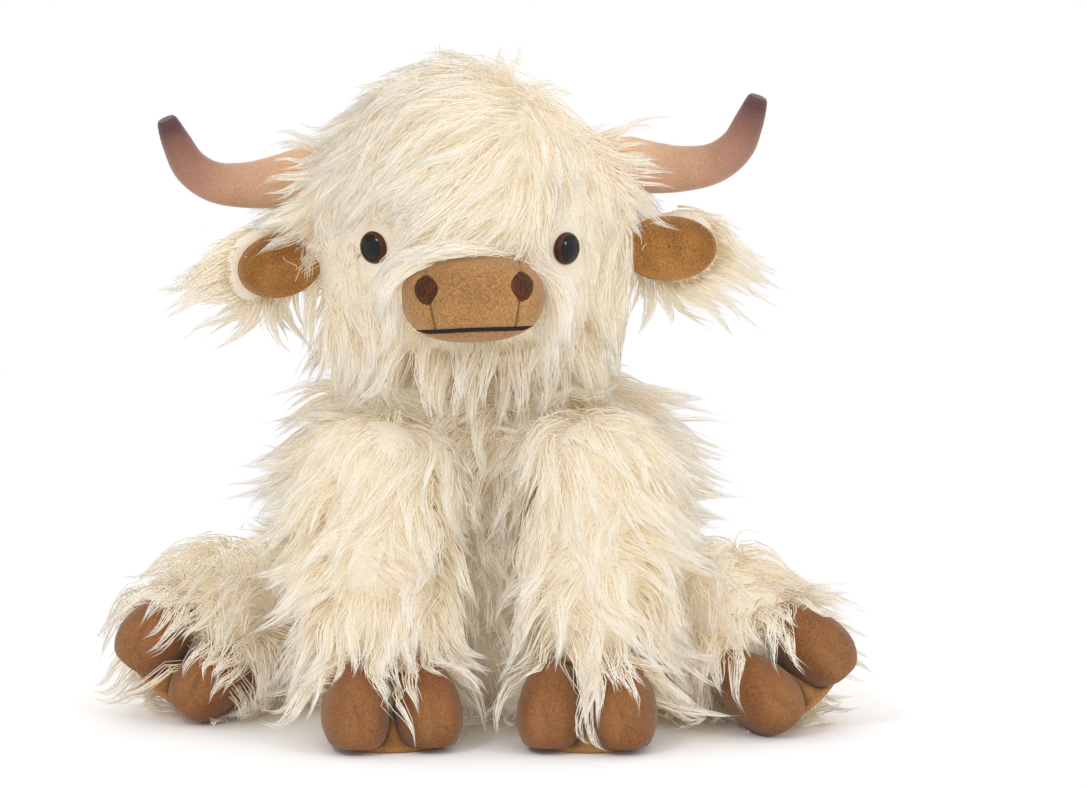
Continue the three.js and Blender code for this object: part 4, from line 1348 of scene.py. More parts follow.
@dataclass
class Maker:
    """What every sub-assembly shares: the forms, the finishes and what strands must clear."""

    pattern: Pattern
    wardrobe: Wardrobe
    room: Room
    around: list[Form | Floor] = field(default_factory=lambda: [Floor()])
    lowest_root: float = 3 * MM
    root_depth: float = 1 * MM  # at which a lock starts inside its backing
    least_height: float = 0.3 * MM  # of a strand's point over a form, before it is lifted
    lifted_to: float = 0.4 * MM
    most_sunk: float = 1.2 * MM  # that a strand may run inside a form between two of its points

    def stuffed(
        self,
        name: str,
        surface: Surface,
        body: str,
        finish: Finish,
        nodes: Sequence[str],
        fill: float = 0.8,
    ) -> None:
        """A stuffed piece.

        Args:
            name: The piece's name.
            surface: Its shape.
            body: The body that it rides on.
            finish: What it is made of.
            nodes: The solids that it stands for.
            fill: Not used.
        """
        piece = mesh_piece(name, surface)
        self.settle(piece, body, finish, nodes)

    def settle(
        self, piece: bpy.types.Object, body: str, finish: Finish, nodes: Sequence[str] = ()
    ) -> None:
        """Dresses a piece, lets it ride on its body and hides the solids that it stands for."""
        self.wardrobe.put(piece, finish)
        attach(piece, body)
        if nodes:
            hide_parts(*nodes)
        log.info("%s rides on %s", piece.name, body)

    def coat(
        self,
        name: str,
        form: Form,
        body: str,
        comb: Comb,
        pile: Pile,
        seed: int,
        keep: Callable[[Array, Array], Array] | None = None,
        others: Sequence[Form] = (),
        trims: Sequence[Form] = (),
    ) -> None:
        """Grows the long pile of a form.

        Args:
            name: The region's name.
            form: The backing that it grows from.
            body: The body that it rides on.
            comb: Which way it is brushed.
            pile: How it is cut and lies.
            seed: Picks the strands.
            keep: Says of points and outward directions which may carry pile.
            others: Forms under which no pile starts.
            trims: Spaces that are cut clear of pile, such as the view of an eye.
        """
        rng = np.random.default_rng(seed)
        roots, normals = scattered(form.surface(60, 72), pile.spacing, rng)
        good = roots[:, 2] > self.lowest_root
        for other in others:
            good &= other.distance(roots) > 1 * MM
        if keep:
            good &= keep(roots, normals)
        roots, normals = roots[good], normals[good]
        around = Surroundings(self.around)
        bounds = [*trims, self.room]
        inner = roots - normals * self.root_depth
        locks, left = grown(inner, normals, comb, pile, around, bounds, seed + 1)
        paths, thickness = cut_back(*as_strands(locks, left, pile, seed + 2), trims)
        loose = paths[:, 2:].reshape(-1, 3)
        sunk = around.distance(loose) < self.least_height
        height, out = around.outwards(loose[sunk])
        loose[sunk] += out * (self.lifted_to - height)[:, None]
        paths[:, 2:] = loose.reshape(len(paths), -1, 3)
        between = ((paths[:, 1:-1] + paths[:, 2:]) / 2).reshape(-1, 3)
        free = (around.distance(between) > -self.most_sunk).reshape(len(paths), -1).all(axis=1)
        paths, thickness = paths[free], thickness[free]
        for piece in coat_pieces(name, self.room.held(paths), thickness, seed + 3):
            self.settle(piece, body, COAT)
        log.info("%s has %d strands", name, len(paths))


@dataclass
class Torso:
    """Body, seat and neck."""

    maker: Maker
    seat_half: Array = field(default_factory=lambda: vec(60, 50) * MM)
    seat_thickness: float = 4 * MM
    skin_foot: float = 0.5 * MM  # the skin's lowest point
    chest_half: float = 52 * MM
    chest_front: float = -30 * MM
    chest_foot: float = 60 * MM
    shoulder_back: float = 5 * MM
    shoulder_foot: float = 128 * MM

    def build(self) -> None:
        """Makes the skins; the coat follows once every form is known."""
        pattern, maker = self.maker.pattern, self.maker
        self.skin = pattern.torso.drawn_in(pattern.coat_inset)
        surface = self.skin.surface(48, 64)
        surface.points[:, 2] = np.maximum(surface.points[:, 2], self.skin_foot)
        maker.stuffed("body_skin", surface, "torso", BACKING, ["body_cover"])
        rings = pad_rings(self.seat_half, self.seat_thickness, 0.04, 6, 72)
        maker.settle(mesh_piece("seat_panel_cloth", capped_tube(rings)), "torso", BACKING, ["seat_panel"])
        neck = pattern.neck.drawn_in(1 * MM)
        maker.stuffed("neck_skin", neck.surface(40), "neck", BACKING, ["neck"])
        maker.around.append(self.skin)

    def dress(self, legs: Sequence[Form]) -> None:
        """Grows the pile of the body, the chest, the shoulders and the neck."""
        pattern, maker = self.maker.pattern, self.maker
        middle = vec(0, 0.02, 0.17)
        comb = Comb(
            middle, vec(1.7, 1.1, 0), 11, fall=0.35, settle=1.0, growth=1.1, tousle=0.55, stand=0.9
        )
        pile = Pile(length=58 * MM, spacing=12.2 * MM, flare=38 * MM, lift=0.65)
        maker.coat("body_coat", self.skin, "torso", comb, pile, 100, others=[*legs, pattern.neck])
        curl = Comb(
            vec(0.012, 0, 0.2),
            vec(1.5, 0, 0),
            13,
            fall=0.6,
            settle=0.5,
            sweep=vec(-0.3, -0.3, 0),
            growth=0.8,
            tousle=0.9,
            tousle_pitch=32 * MM,
            stand=0.8,
        )
        curls = Pile(46 * MM, 8.4 * MM, layers=(5 * MM, 22 * MM), flare=14 * MM, wave=0.9)

        def on_chest(roots: Array, normals: Array) -> Array:
            """Keeps roots between the front legs."""
            ahead = (np.abs(roots[:, 0]) < self.chest_half) & (roots[:, 1] < self.chest_front)
            return ahead & (roots[:, 2] > self.chest_foot)

        maker.coat("chest_coat", self.skin, "torso", curl, curls, 120, keep=on_chest, others=legs)
        drape = Comb(
            vec(0, 0, 0.2),
            vec(1.7, 0, 0),
            14,
            fall=0.5,
            settle=1.0,
            sweep=vec(0, -1.0, 0),
            growth=0.8,
            tousle=0.4,
            tousle_pitch=45 * MM,
            stand=1.0,
        )
        mantle = Pile(72 * MM, 9 * MM, layers=(12 * MM, 34 * MM), flare=14 * MM, lift=0.8, wave=0.7)

        def on_shoulders(roots: Array, normals: Array) -> Array:
            """Keeps roots round the neck, above the front legs."""
            return (roots[:, 1] < self.shoulder_back) & (roots[:, 2] > self.shoulder_foot)

        maker.coat("shoulder_coat", self.skin, "torso", drape, mantle, 130, keep=on_shoulders, others=legs)
        ring = Comb(pattern.neck_at, vec(1.6, 1.6, 0), 12, fall=0.5, tousle=0.4, stand=0.6)
        collar = Pile(length=62 * MM, spacing=8 * MM, strands=14, layers=(6 * MM, 22 * MM), flare=12 * MM)
        maker.coat("neck_coat", pattern.neck, "neck", ring, collar, 140)


@dataclass
class Head:
    """Head, forelock, eyes and the pile round them."""

    maker: Maker
    eye_turn: float = 43.0
    eye_drops: dict[Side, float] = field(default_factory=lambda: {Side.LEFT: 8.4 * MM, Side.RIGHT: 3.9 * MM})
    eye_radius: float = 9 * MM
    eye_dome: float = 6.5 * MM
    eye_rim: float = 1.2 * MM
    eye_view: float = 34 * MM
    crown_reach: float = 44 * MM  # from the head's top, of the tuft there

    def build(self) -> None:
        """Makes the skins and the eyes."""
        pattern, maker = self.maker.pattern, self.maker
        self.skin = pattern.head.drawn_in(pattern.coat_inset)
        self.fringe = pattern.forelock.drawn_in(pattern.coat_inset)
        maker.stuffed("head_skin", self.skin.surface(56), "head", BACKING, ["head_cover"])
        maker.stuffed("forelock_skin", self.fringe.surface(48), "head", BACKING, ["forelock"])
        maker.around.extend([self.skin, self.fringe])
        self.views, self.seats = [], []
        for side in Side:
            self.eye(side)

    def eye(self, side: Side) -> None:
        """A domed eye with a dark brown rim, and the spaces that pile leaves free at and in front of it."""
        pattern = self.maker.pattern
        low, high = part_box(f"eye_{side.word}")
        angle = math.radians(self.eye_turn)
        outwards = pattern.head_place.direction(vec(side.value * math.sin(angle), -math.cos(angle), 0))
        box_middle = (np.array(low) + np.array(high)) / 2
        middle = pattern.head_place.point(pattern.head_centre - vec(0, 0, self.eye_drops[side]))
        reach = float(dot(box_middle - middle, outwards)[0])
        half = float(dot((np.array(high) - np.array(low)) / 2, np.abs(outwards))[0])
        rise = reach + half - self.eye_dome - self.eye_radius * math.cos(angle) * 0.35
        across = unit(np.cross(vec(0, 0, 1), outwards))
        up = np.cross(outwards, across)
        base = middle + outwards * rise

        def cap(name: str, start: float, end: float, finish: SmoothFinish, nodes: Sequence[str]) -> None:
            """A closed cap of the dome between two angles from its edge, on a flat back."""
            rise = np.radians(np.linspace(start, end, 16))
            radius = self.eye_radius * np.cos(rise)
            height = self.eye_rim + (self.eye_dome - self.eye_rim) * np.sin(rise)
            radius = np.concatenate([[radius[0] * 0.97], radius])
            height = np.concatenate([[height[0] - self.eye_rim], height])
            turn = turns(48)[:, None]
            flat = np.cos(turn) * across + np.sin(turn) * up
            rings = base + flat[None] * radius[:, None, None] + outwards * height[:, None, None]
            back = base + outwards * height[0]
            front = base + outwards * (height[-1] + 0.02 * MM)
            piece = mesh_piece(name, capped_tube(rings, back, front))
            self.maker.settle(piece, "head", finish, nodes)

        cap(f"eye_rim_{side.word}", 0, 34, IRIS, [f"eye_{side.word}"])
        cap(f"eye_pupil_{side.word}", 30, 89, PUPIL, [])
        view = unit(outwards + vec(0, -0.7, 0)) * self.eye_view
        over = base + outwards * 3 * MM + vec(0, 0, 3 * MM)
        self.views.append(rod(over, over + view, [8 * MM, 10 * MM]))
        ahead = over + vec(-side.value * 0.12, -1, 0.12) * self.eye_view
        self.views.append(rod(over, ahead, [9.3 * MM, 9.8 * MM]))
        self.seats.append(rod(base - outwards * 6 * MM, base + outwards * 2 * MM, [8 * MM] * 2))

    def dress(self, horns: Sequence[Form], ears: Sequence[Form], cups: Sequence[Form]) -> None:
        """Grows the head's pile, which stays off the ears' cups: cheeks, back and beard, then the fringe."""
        pattern, maker = self.maker.pattern, self.maker
        crown = pattern.head_place.point(pattern.head_centre + vec(34, 18, 80) * MM)
        comb = Comb(crown, vec(0.25, 0.6, 0), 21, growth=0.7, stand=0.1)
        pile = Pile(length=54 * MM, spacing=10.6 * MM, layers=(1 * MM, 12 * MM), flare=11 * MM, stub=0.16)
        trims = [*self.views, *cups, self.mouth_view()]
        buried = [*horns, *ears, *self.seats, pattern.muzzle, self.fringe]
        maker.coat("head_coat", self.skin, "head", comb, pile, 200, others=buried, trims=trims)
        fringe = Comb(
            crown,
            vec(2.4, 0.7, 0),
            22,
            settle=1.5,
            sweep=vec(-0.9, 0, 0),
            growth=0.35,
            tousle=0.15,
            tousle_pitch=45 * MM,
            stand=0.0,
        )
        long = Pile(
            86 * MM,
            7.6 * MM,
            strands=26,
            lock_radius=8 * MM,
            layers=(3 * MM, 17 * MM),
            flare=8 * MM,
            lift=0.3,
            wave=0.4,
            gather=0.92,
            stub=0.16,
            short=0.08,
        )
        buried = [*horns, *self.seats, pattern.muzzle, self.skin]
        maker.coat("forelock_coat", self.fringe, "head", fringe, long, 240, others=buried, trims=trims)
        tuft = Comb(crown, vec(1.4, 0.6, 0), 23, fall=0.0, tousle=0.5, tousle_pitch=30 * MM, stand=0.9)
        curls = Pile(36 * MM, 9 * MM, layers=(5 * MM, 15 * MM), flare=8 * MM, wave=0.8)
        top = vec(0, 0, pattern.head_half[2] + 3 * MM) + pattern.head_centre

        def at_crown(roots: Array, normals: Array) -> Array:
            """Keeps roots near the top."""
            return np.linalg.norm(pattern.head_place.local(roots) - top, axis=1) < self.crown_reach

        maker.coat("crown_tuft", self.fringe, "head", tuft, curls, 260, keep=at_crown)
        for side in Side:
            self.temple(side, trims)

    def temple(self, side: Side, trims: Sequence[Form]) -> None:
        """Grows the long locks beside the eye that lie out over the horn's root and the top of the ear."""
        horn = joint_at(f"horn_{side.word}_flex")
        ear = joint_at(f"ear_{side.word}_flap") + vec(0, 0, 16 * MM)
        middle = (horn + ear) / 2 - vec(side.value * 20 * MM, 0, 0)
        comb = Comb(
            middle,
            np.zeros(3),
            24 + side.value,
            fall=0.7,
            settle=1.6,
            sweep=vec(side.value * 1.5, -0.15, 0),
            tousle_pitch=40 * MM,
            stand=0.7,
        )
        layers = (1 * MM, 10 * MM)
        locks = Pile(52 * MM, 5.2 * MM, strands=13, lock_radius=5 * MM, layers=layers, flare=9 * MM)

        def near(roots: Array, normals: Array) -> Array:
            """Keeps roots round the horn's root and over the ear."""
            to_horn = np.linalg.norm(roots - horn + vec(side.value * 6 * MM, 0, 0), axis=1)
            return (to_horn < 27 * MM) | (np.linalg.norm(roots - ear, axis=1) < 22 * MM)

        name = f"temple_coat_{side.word}"
        buried = [*self.seats, self.fringe]
        self.maker.coat(name, self.skin, "head", comb, locks, 280 + side.value, near, buried, trims)

    def mouth_view(self) -> DomedForm:
        """The space in front of the muzzle, which the fringe and the cheeks leave free."""
        muzzle = self.maker.pattern.muzzle
        start = muzzle.spine[-1] + vec(0, 22, 0) * MM
        spine = np.linspace(0, 1, 3)[:, None] * vec(0, -60, 0) * MM + start
        widths, depths = [38 * MM] * 3, [25 * MM] * 3
        return DomedForm(muzzle.place, spine, widths, depths, vec(1, 0, 0), 8, 2.5)


@dataclass
class Muzzle:
    """Four plush panels, two nostrils, two seams and the stitched mouth."""

    maker: Maker
    seam_across: float = 25.5 * MM
    seam_lean: float = 4.5 * MM
    seam_radius: float = 0.24 * MM
    mouth_drop: float = 14.5 * MM
    mouth_half: float = 31 * MM
    mouth_arch: float = 2.2 * MM
    mouth_radius: float = 1.15 * MM
    stitch: float = 1.4 * MM  # the length of one
    panel_reach: float = 38.3 * MM  # from the middle to the panels' outer edge
    panel_thickness: float = 2.5 * MM
    arc_radius: float = 24 * MM  # that turns an angle round the muzzle into a length
    groove: float = 1.1 * MM
    nostril_rise: float = 8.5 * MM
    nostril_half: Array = field(default_factory=lambda: vec(6.8, 7.4) * MM)

    def build(self) -> None:
        """Makes every piece of the muzzle."""
        maker = self.maker
        self.form = maker.pattern.muzzle
        maker.around.append(self.form)
        self.middle = (self.form.spine[0] + self.form.spine[-1]) / 2
        for word, sign in (("middle", 0.0), ("left", 1.0), ("right", -1.0)):
            self.panel(f"muzzle_{word}_plush", sign, f"muzzle_{word}_panel")
        self.chin()
        self.mouth()
        for side in Side:
            self.nostril(side)
            self.seam(side)

    def solved(self, across: Array, angle: Array) -> Array:
        """Points on the muzzle: out from its middle until the form's size is one.

        Args:
            across: How far each lies to the side of the middle.
            angle: Its direction in the upright plane there: 0 is ahead and a quarter turn is up.

        Returns:
            The points in the head's frame, in the shape of the arguments.
        """
        shape = np.broadcast(across, angle).shape
        x = np.broadcast_to(across, shape).ravel()
        turn = np.broadcast_to(angle, shape).ravel()
        ray = np.stack([0 * turn, -np.cos(turn), np.sin(turn)], axis=1)
        start = self.middle + x[:, None] * vec(1, 0, 0)
        near, far = np.zeros(len(x)), np.full(len(x), 60 * MM)
        for _ in range(26):
            half = (near + far) / 2
            outside = self.form.distance(self.form.place.point(start + ray * half[:, None])) > 0
            near, far = np.where(outside, near, half), np.where(outside, half, far)
        return (start + ray * near[:, None]).reshape(*shape, 3)

    def mouth_angle(self, across: Array) -> Array:
        """The direction at which the surface is as low as the mouth, by interpolation along each section."""
        turn = np.radians(np.linspace(-88, 30, 60))
        points = self.solved(across[:, None], turn[None])
        heights = points[..., 2] - self.middle[2]
        line = -self.mouth_drop - self.mouth_arch * (across / self.mouth_half) ** 2 + self.mouth_arch * 0.5
        return np.array([np.interp(low, row, turn) for low, row in zip(line, heights, strict=True)])

    def seam_at(self, angle: Array) -> Array:
        """How far from the middle the seam lies: it leans inwards as it falls to the mouth."""
        fall = np.clip((math.radians(20) - angle) / math.radians(55), 0, 1)
        return self.seam_across - self.seam_lean * fall

    def sheet(self, name: str, across: Array, angle: Array, edges: Array, nodes: Sequence[str]) -> None:
        """A panel over a grid, drawn in along its edges.

        Args:
            name: The piece's name.
            across: The grid's places to the side.
            angle: The grid's directions.
            edges: How far each point is from the nearest seam.
            nodes: The solids that it stands for.
        """
        points = self.solved(across, angle)
        inwards = unit(self.middle + across[..., None] * vec(0.6, 0, 0) - points)
        points = points + inwards * (self.groove * bell(edges, 1.3 * MM))[..., None]
        rows, columns = across.shape
        world = self.form.place.point(points.reshape(-1, 3))
        surface = Surface(world, grid_quads(rows, columns, False))
        piece = thickened(mesh_piece(name, surface), self.panel_thickness)
        self.maker.settle(piece, "head", TAN, nodes)

    def panel(self, name: str, sign: float, node: str) -> None:
        """The middle panel, or the one on a side, from the mouth over the front to the back of the top."""
        share = np.linspace(0, 1, 72)[:, None]
        columns = np.linspace(-1, 1, 61)[None]
        guess = np.radians(-30 + 140 * share)
        if sign == 0:
            across = self.seam_at(guess) * columns
            edges = self.seam_at(guess) - np.abs(across)
        else:
            ease = np.sin(np.pi / 4 * (columns[:, ::2] + 1))
            inner = self.seam_at(guess)
            reach = sign * (inner + (self.panel_reach - inner) * ease)
            across = reach if sign > 0 else reach[:, ::-1]
            edges = np.abs(across) - inner
        low = self.mouth_angle(across[0])[None]
        angle = low + (math.radians(112) - low) * share
        gap = np.minimum(np.abs(edges), (angle - low) * self.arc_radius)
        self.sheet(name, across, angle, gap, [node])

    def chin(self) -> None:
        """The panel under the mouth."""
        across = self.panel_reach * np.sin(np.pi / 2 * np.linspace(-1, 1, 81))[None] * np.ones((40, 1))
        high = self.mouth_angle(across[0])[None]
        share = np.linspace(0, 1, 40)[:, None]
        rear = math.radians(-118)
        angle = rear + (high - rear) * share
        self.sheet("chin_plush", across, angle, (high - angle) * self.arc_radius, ["chin_panel"])

    def mouth(self) -> None:
        """The mouth: a thick black thread, whose thickness swells at each stitch, sunk half into the seam."""
        across = np.linspace(-self.mouth_half, self.mouth_half, 220)
        path = self.solved(across, self.mouth_angle(across))
        path = path + vec(0, 0.35 * MM, 0)
        stitch = 1 + 0.12 * np.sin(2 * np.pi * across / self.stitch)
        taper = np.clip((self.mouth_half - np.abs(across)) / (5 * MM), 0.25, 1)
        self.cord("mouth_thread", path, self.mouth_radius * stitch * taper, THREAD, ["mouth_stitch"])

    def cord(self, name: str, path: Array, radius: Array, finish: SmoothFinish, nodes: Sequence[str]) -> None:
        """A closed round thread along a path in the head's frame, with a radius at each point."""
        tangent = unit(np.gradient(path, axis=0))
        first = unit(np.cross(tangent, vec(0, 1, 0.3)))
        second = np.cross(tangent, first)
        turn = turns(8)[None, :, None]
        ring = np.cos(turn) * first[:, None] + np.sin(turn) * second[:, None]
        tube = capped_tube(path[:, None] + ring * radius[:, None, None], path[0], path[-1])
        tube.points = self.form.place.point(tube.points)
        self.maker.settle(mesh_piece(name, tube), "head", finish, nodes)

    def seam(self, side: Side) -> None:
        """The thin sewn line from the nostril down to the mouth."""
        low = self.mouth_angle(vec(self.seam_at(vec(-0.5))[0] * side.value))[0]
        angle = np.linspace(low, math.radians(4), 60)
        path = self.solved(side.value * self.seam_at(angle), angle) + vec(0, self.groove * 0.75, 0)
        self.cord(f"muzzle_seam_{side.word}", path, np.full(60, self.seam_radius), SEAM, [])

    def nostril(self, side: Side) -> None:
        """A drop of dark pile, point down, that lies on the muzzle.

        A place in it is its middle plus a share of the drop's radius at an angle: an ellipse whose lower half
        draws in to a point.
        """
        share = np.linspace(0.02, 1, 14)[:, None]
        angle = turns(56)[None]
        down = np.clip(-np.sin(angle), 0, 1)
        wide = self.nostril_half[0] * np.cos(angle) * (1 - 0.12 * down)
        tall = self.nostril_half[1] * np.sin(angle) * (1 + 0.12 * down**6)
        lean = -side.value * 0.12 * tall
        x = side.value * (self.seam_across + 0.3 * MM) + share * (wide + lean)
        z = self.nostril_rise + share * tall
        turn = np.arctan2(z, 30 * MM)
        for _ in range(12):
            found = self.solved(x, turn)
            turn = turn + (z - (found[..., 2] - self.middle[2])) / (34 * MM)
        points = self.solved(x, turn)
        out = unit(points - self.middle - x[..., None] * vec(0.5, 0, 0))
        crease = bell(share * np.cos(angle), 0.12) * np.clip(0.35 - share * np.sin(angle), 0, 1)
        crease = crease * (1 - share**2)
        points = points + out * (1.0 * MM * (1 - share**4) - 0.3 * MM - 0.6 * MM * crease)[..., None]
        back = points[-1].mean(axis=0) - out[0, 0] * 1.5 * MM
        tube = capped_tube(points[::-1], back, points[0].mean(axis=0) + out[0, 0] * 0.02 * MM)
        tube.points = self.form.place.point(tube.points)
        centre = tube.points.mean(axis=0)
        if float(np.sum(tube.normals()[-1] * (tube.points[-1] - centre))) < 0:
            tube.quads = tube.quads[:, [0, 3, 2, 1]]
            flat = tube.quads[:, 1] == tube.quads[:, 2]
            tube.quads[flat] = tube.quads[flat][:, [0, 1, 3, 3]]
        piece = mesh_piece(f"nostril_patch_{side.word}", tube)
        self.maker.settle(piece, "head", NOSTRIL, [f"nostril_{side.word}"])


@dataclass
class Horn:
    """A velour horn that reaches out and sweeps up."""

    maker: Maker
    side: Side
    reach: float = 71 * MM
    rise: float = 36 * MM
    sweep: float = 8 * MM
    root: float = 15 * MM

    def build(self) -> None:
        """Makes the horn."""
        turn = self.maker.pattern.head_place.turn
        place = Placement(joint_at(f"horn_{self.side.word}_flex"), turn)
        across = self.side.value * self.reach * vec(0, 0.14, 0.39, 0.64, 0.82, 0.92, 1)
        up = self.rise * vec(0, -0.06, -0.1, -0.03, 0.22, 0.6, 1)
        back = -self.sweep * vec(0, 0.03, 0.12, 0.3, 0.55, 0.78, 1)
        radii = self.root * vec(1, 0.97, 0.84, 0.74, 0.66, 0.56, 0.44)
        self.form = LimbForm(place, np.stack([across, back, up], axis=1), radii, vec(0, 1, 0), 9)
        body = f"horn_{self.side.word}"
        self.maker.stuffed(f"{body}_velour", self.form.surface(96), body, VELOUR, [body])
        self.maker.around.append(self.form)


@dataclass
class Ear:
    """A leaf of fur with a folded plush lining in its cup."""

    maker: Maker
    side: Side
    length: float = 50 * MM
    half_height: float = 23 * MM
    half_thickness: float = 11 * MM
    droop: float = 8 * MM
    scoop_half: Array = field(default_factory=lambda: vec(25, 14, 16.5) * MM)
    scoop_depth: float = 8 * MM
    scoop_share: float = 0.42
    backing_inset: float = 3 * MM
    lining_thickness: float = 1.6 * MM

    def build(self) -> None:
        """Makes the back and the lining."""
        joint = f"ear_{self.side.word}_flap"
        ahead = unit(np.array(joint_of(joint)["axis"]))
        up = self.maker.pattern.head_place.turn[:, 2]
        turn = np.stack([np.cross(ahead, up), ahead, up], axis=1)
        place = Placement(joint_at(joint), turn)
        share = np.linspace(0, 1, 5)
        spine = np.stack([self.side.value * self.length * share, 0 * share, -self.droop * share], axis=1)
        tall = vec(0.36, 0.84, 1, 0.94, 0.72)
        widths, depths = self.half_height * tall, self.half_thickness * np.sqrt(tall)
        self.form = DomedForm(place, spine, widths, depths, vec(0, 0, 1), 3)
        self.leaf = self.form.drawn_in(self.backing_inset)
        body = f"ear_{self.side.word}"
        self.maker.around.append(self.leaf)
        middle = vec(self.side.value * self.length, 0, -self.droop) * self.scoop_share
        self.cup = middle + vec(0, self.scoop_depth - self.half_thickness - self.scoop_half[1], 0)
        self.back(place, body)
        self.lining(place, body)
        low = self.cup + vec(self.side.value * 2 * MM, 12 * MM, -5 * MM)
        line = low + np.linspace(0, 1, 3)[:, None] * vec(0, -52 * MM, 0)
        self.view = DomedForm(place, line, [21.5 * MM] * 3, [13.5 * MM] * 3, vec(1, 0, 0), 5)

    def back(self, place: Placement, body: str) -> None:
        """The backing's leaf, pressed in behind the lining, so that no point lies ahead of the scoop."""
        surface = self.leaf.surface(44, 56)
        local = place.local(surface.points)
        half = self.scoop_half
        across, up = (local[:, 0] - self.cup[0]) / half[0], (local[:, 2] - self.cup[2]) / half[2]
        inside = across**2 + up**2 < 1
        dish = self.cup[1] + half[1] * np.sqrt(np.maximum(1 - across**2 - up**2, 0)) + 2.2 * MM
        dish = np.minimum(dish, 0.62 * self.half_thickness)
        local[:, 1] = np.where(inside, np.maximum(local[:, 1], dish), local[:, 1])
        surface.points = place.point(local)
        self.maker.stuffed(f"{body}_skin", surface, body, BACKING, [f"{body}_back"], fill=0.6)

    def lining(self, place: Placement, body: str) -> None:
        """The plush cup: a dish of the scoop's shape with a rolled edge and a fold along its middle."""
        share = np.linspace(0.02, 1, 26)[:, None]
        angle = turns(64)[None]
        half = self.scoop_half
        x = half[0] * share * np.cos(angle)
        z = half[2] * share * np.sin(angle)
        dish = half[1] * (1 - (0.93 * share) ** 2.2) ** (1 / 2.2)
        fold = 2.2 * MM * bell(z + 2 * MM, 3.5 * MM) * (1 - share**2) * (x * self.side.value < 6 * MM)
        roll = -2.0 * MM * bell(share - 1, 0.12)
        points = self.cup + np.stack([x, dish + roll - fold + 0 * x, z], axis=-1)
        if self.side is Side.LEFT:
            points = points[:, ::-1]
        surface = Surface(place.point(points.reshape(-1, 3)), grid_quads(*points.shape[:2], True))
        if float(dot(surface.normals().mean(axis=0), place.turn[:, 1])[0]) > 0:
            surface.quads = surface.quads[:, ::-1]
        piece = thickened(mesh_piece(f"{body}_plush", surface), self.lining_thickness)
        self.maker.settle(piece, body, LINING, [f"{body}_lining"])

    def dress(self) -> None:
        """Grows the fur of the back, away from the ear's middle."""
        middle = self.form.place.point(vec(self.side.value * 14 * MM, 0, 8 * MM))
        ahead = -self.form.place.turn[:, 1]
        seed = 31 + self.side.value
        comb = Comb(middle, vec(3.6, 0.8, 0.6), seed, fall=0.5, sweep=ahead * 0.3, tousle=0.4, stand=0.6)
        pile = Pile(46 * MM, 5.6 * MM, lock_radius=5 * MM, layers=(1 * MM, 8 * MM), flare=11 * MM, lift=0.4)

        def behind(roots: Array, normals: Array) -> Array:
            """Keeps roots off the cup."""
            reach = (self.form.place.local(roots) - self.cup) / self.scoop_half
            facing = dot(normals, ahead)[:, 0]
            return (facing < 0.75) & ((facing < 0) | (reach[:, 0] ** 2 + reach[:, 2] ** 2 > 1.1))

        name = f"ear_{self.side.word}"
        seed = 300 + self.side.value
        self.maker.coat(f"{name}_coat", self.leaf, name, comb, pile, seed, behind, trims=[self.view])


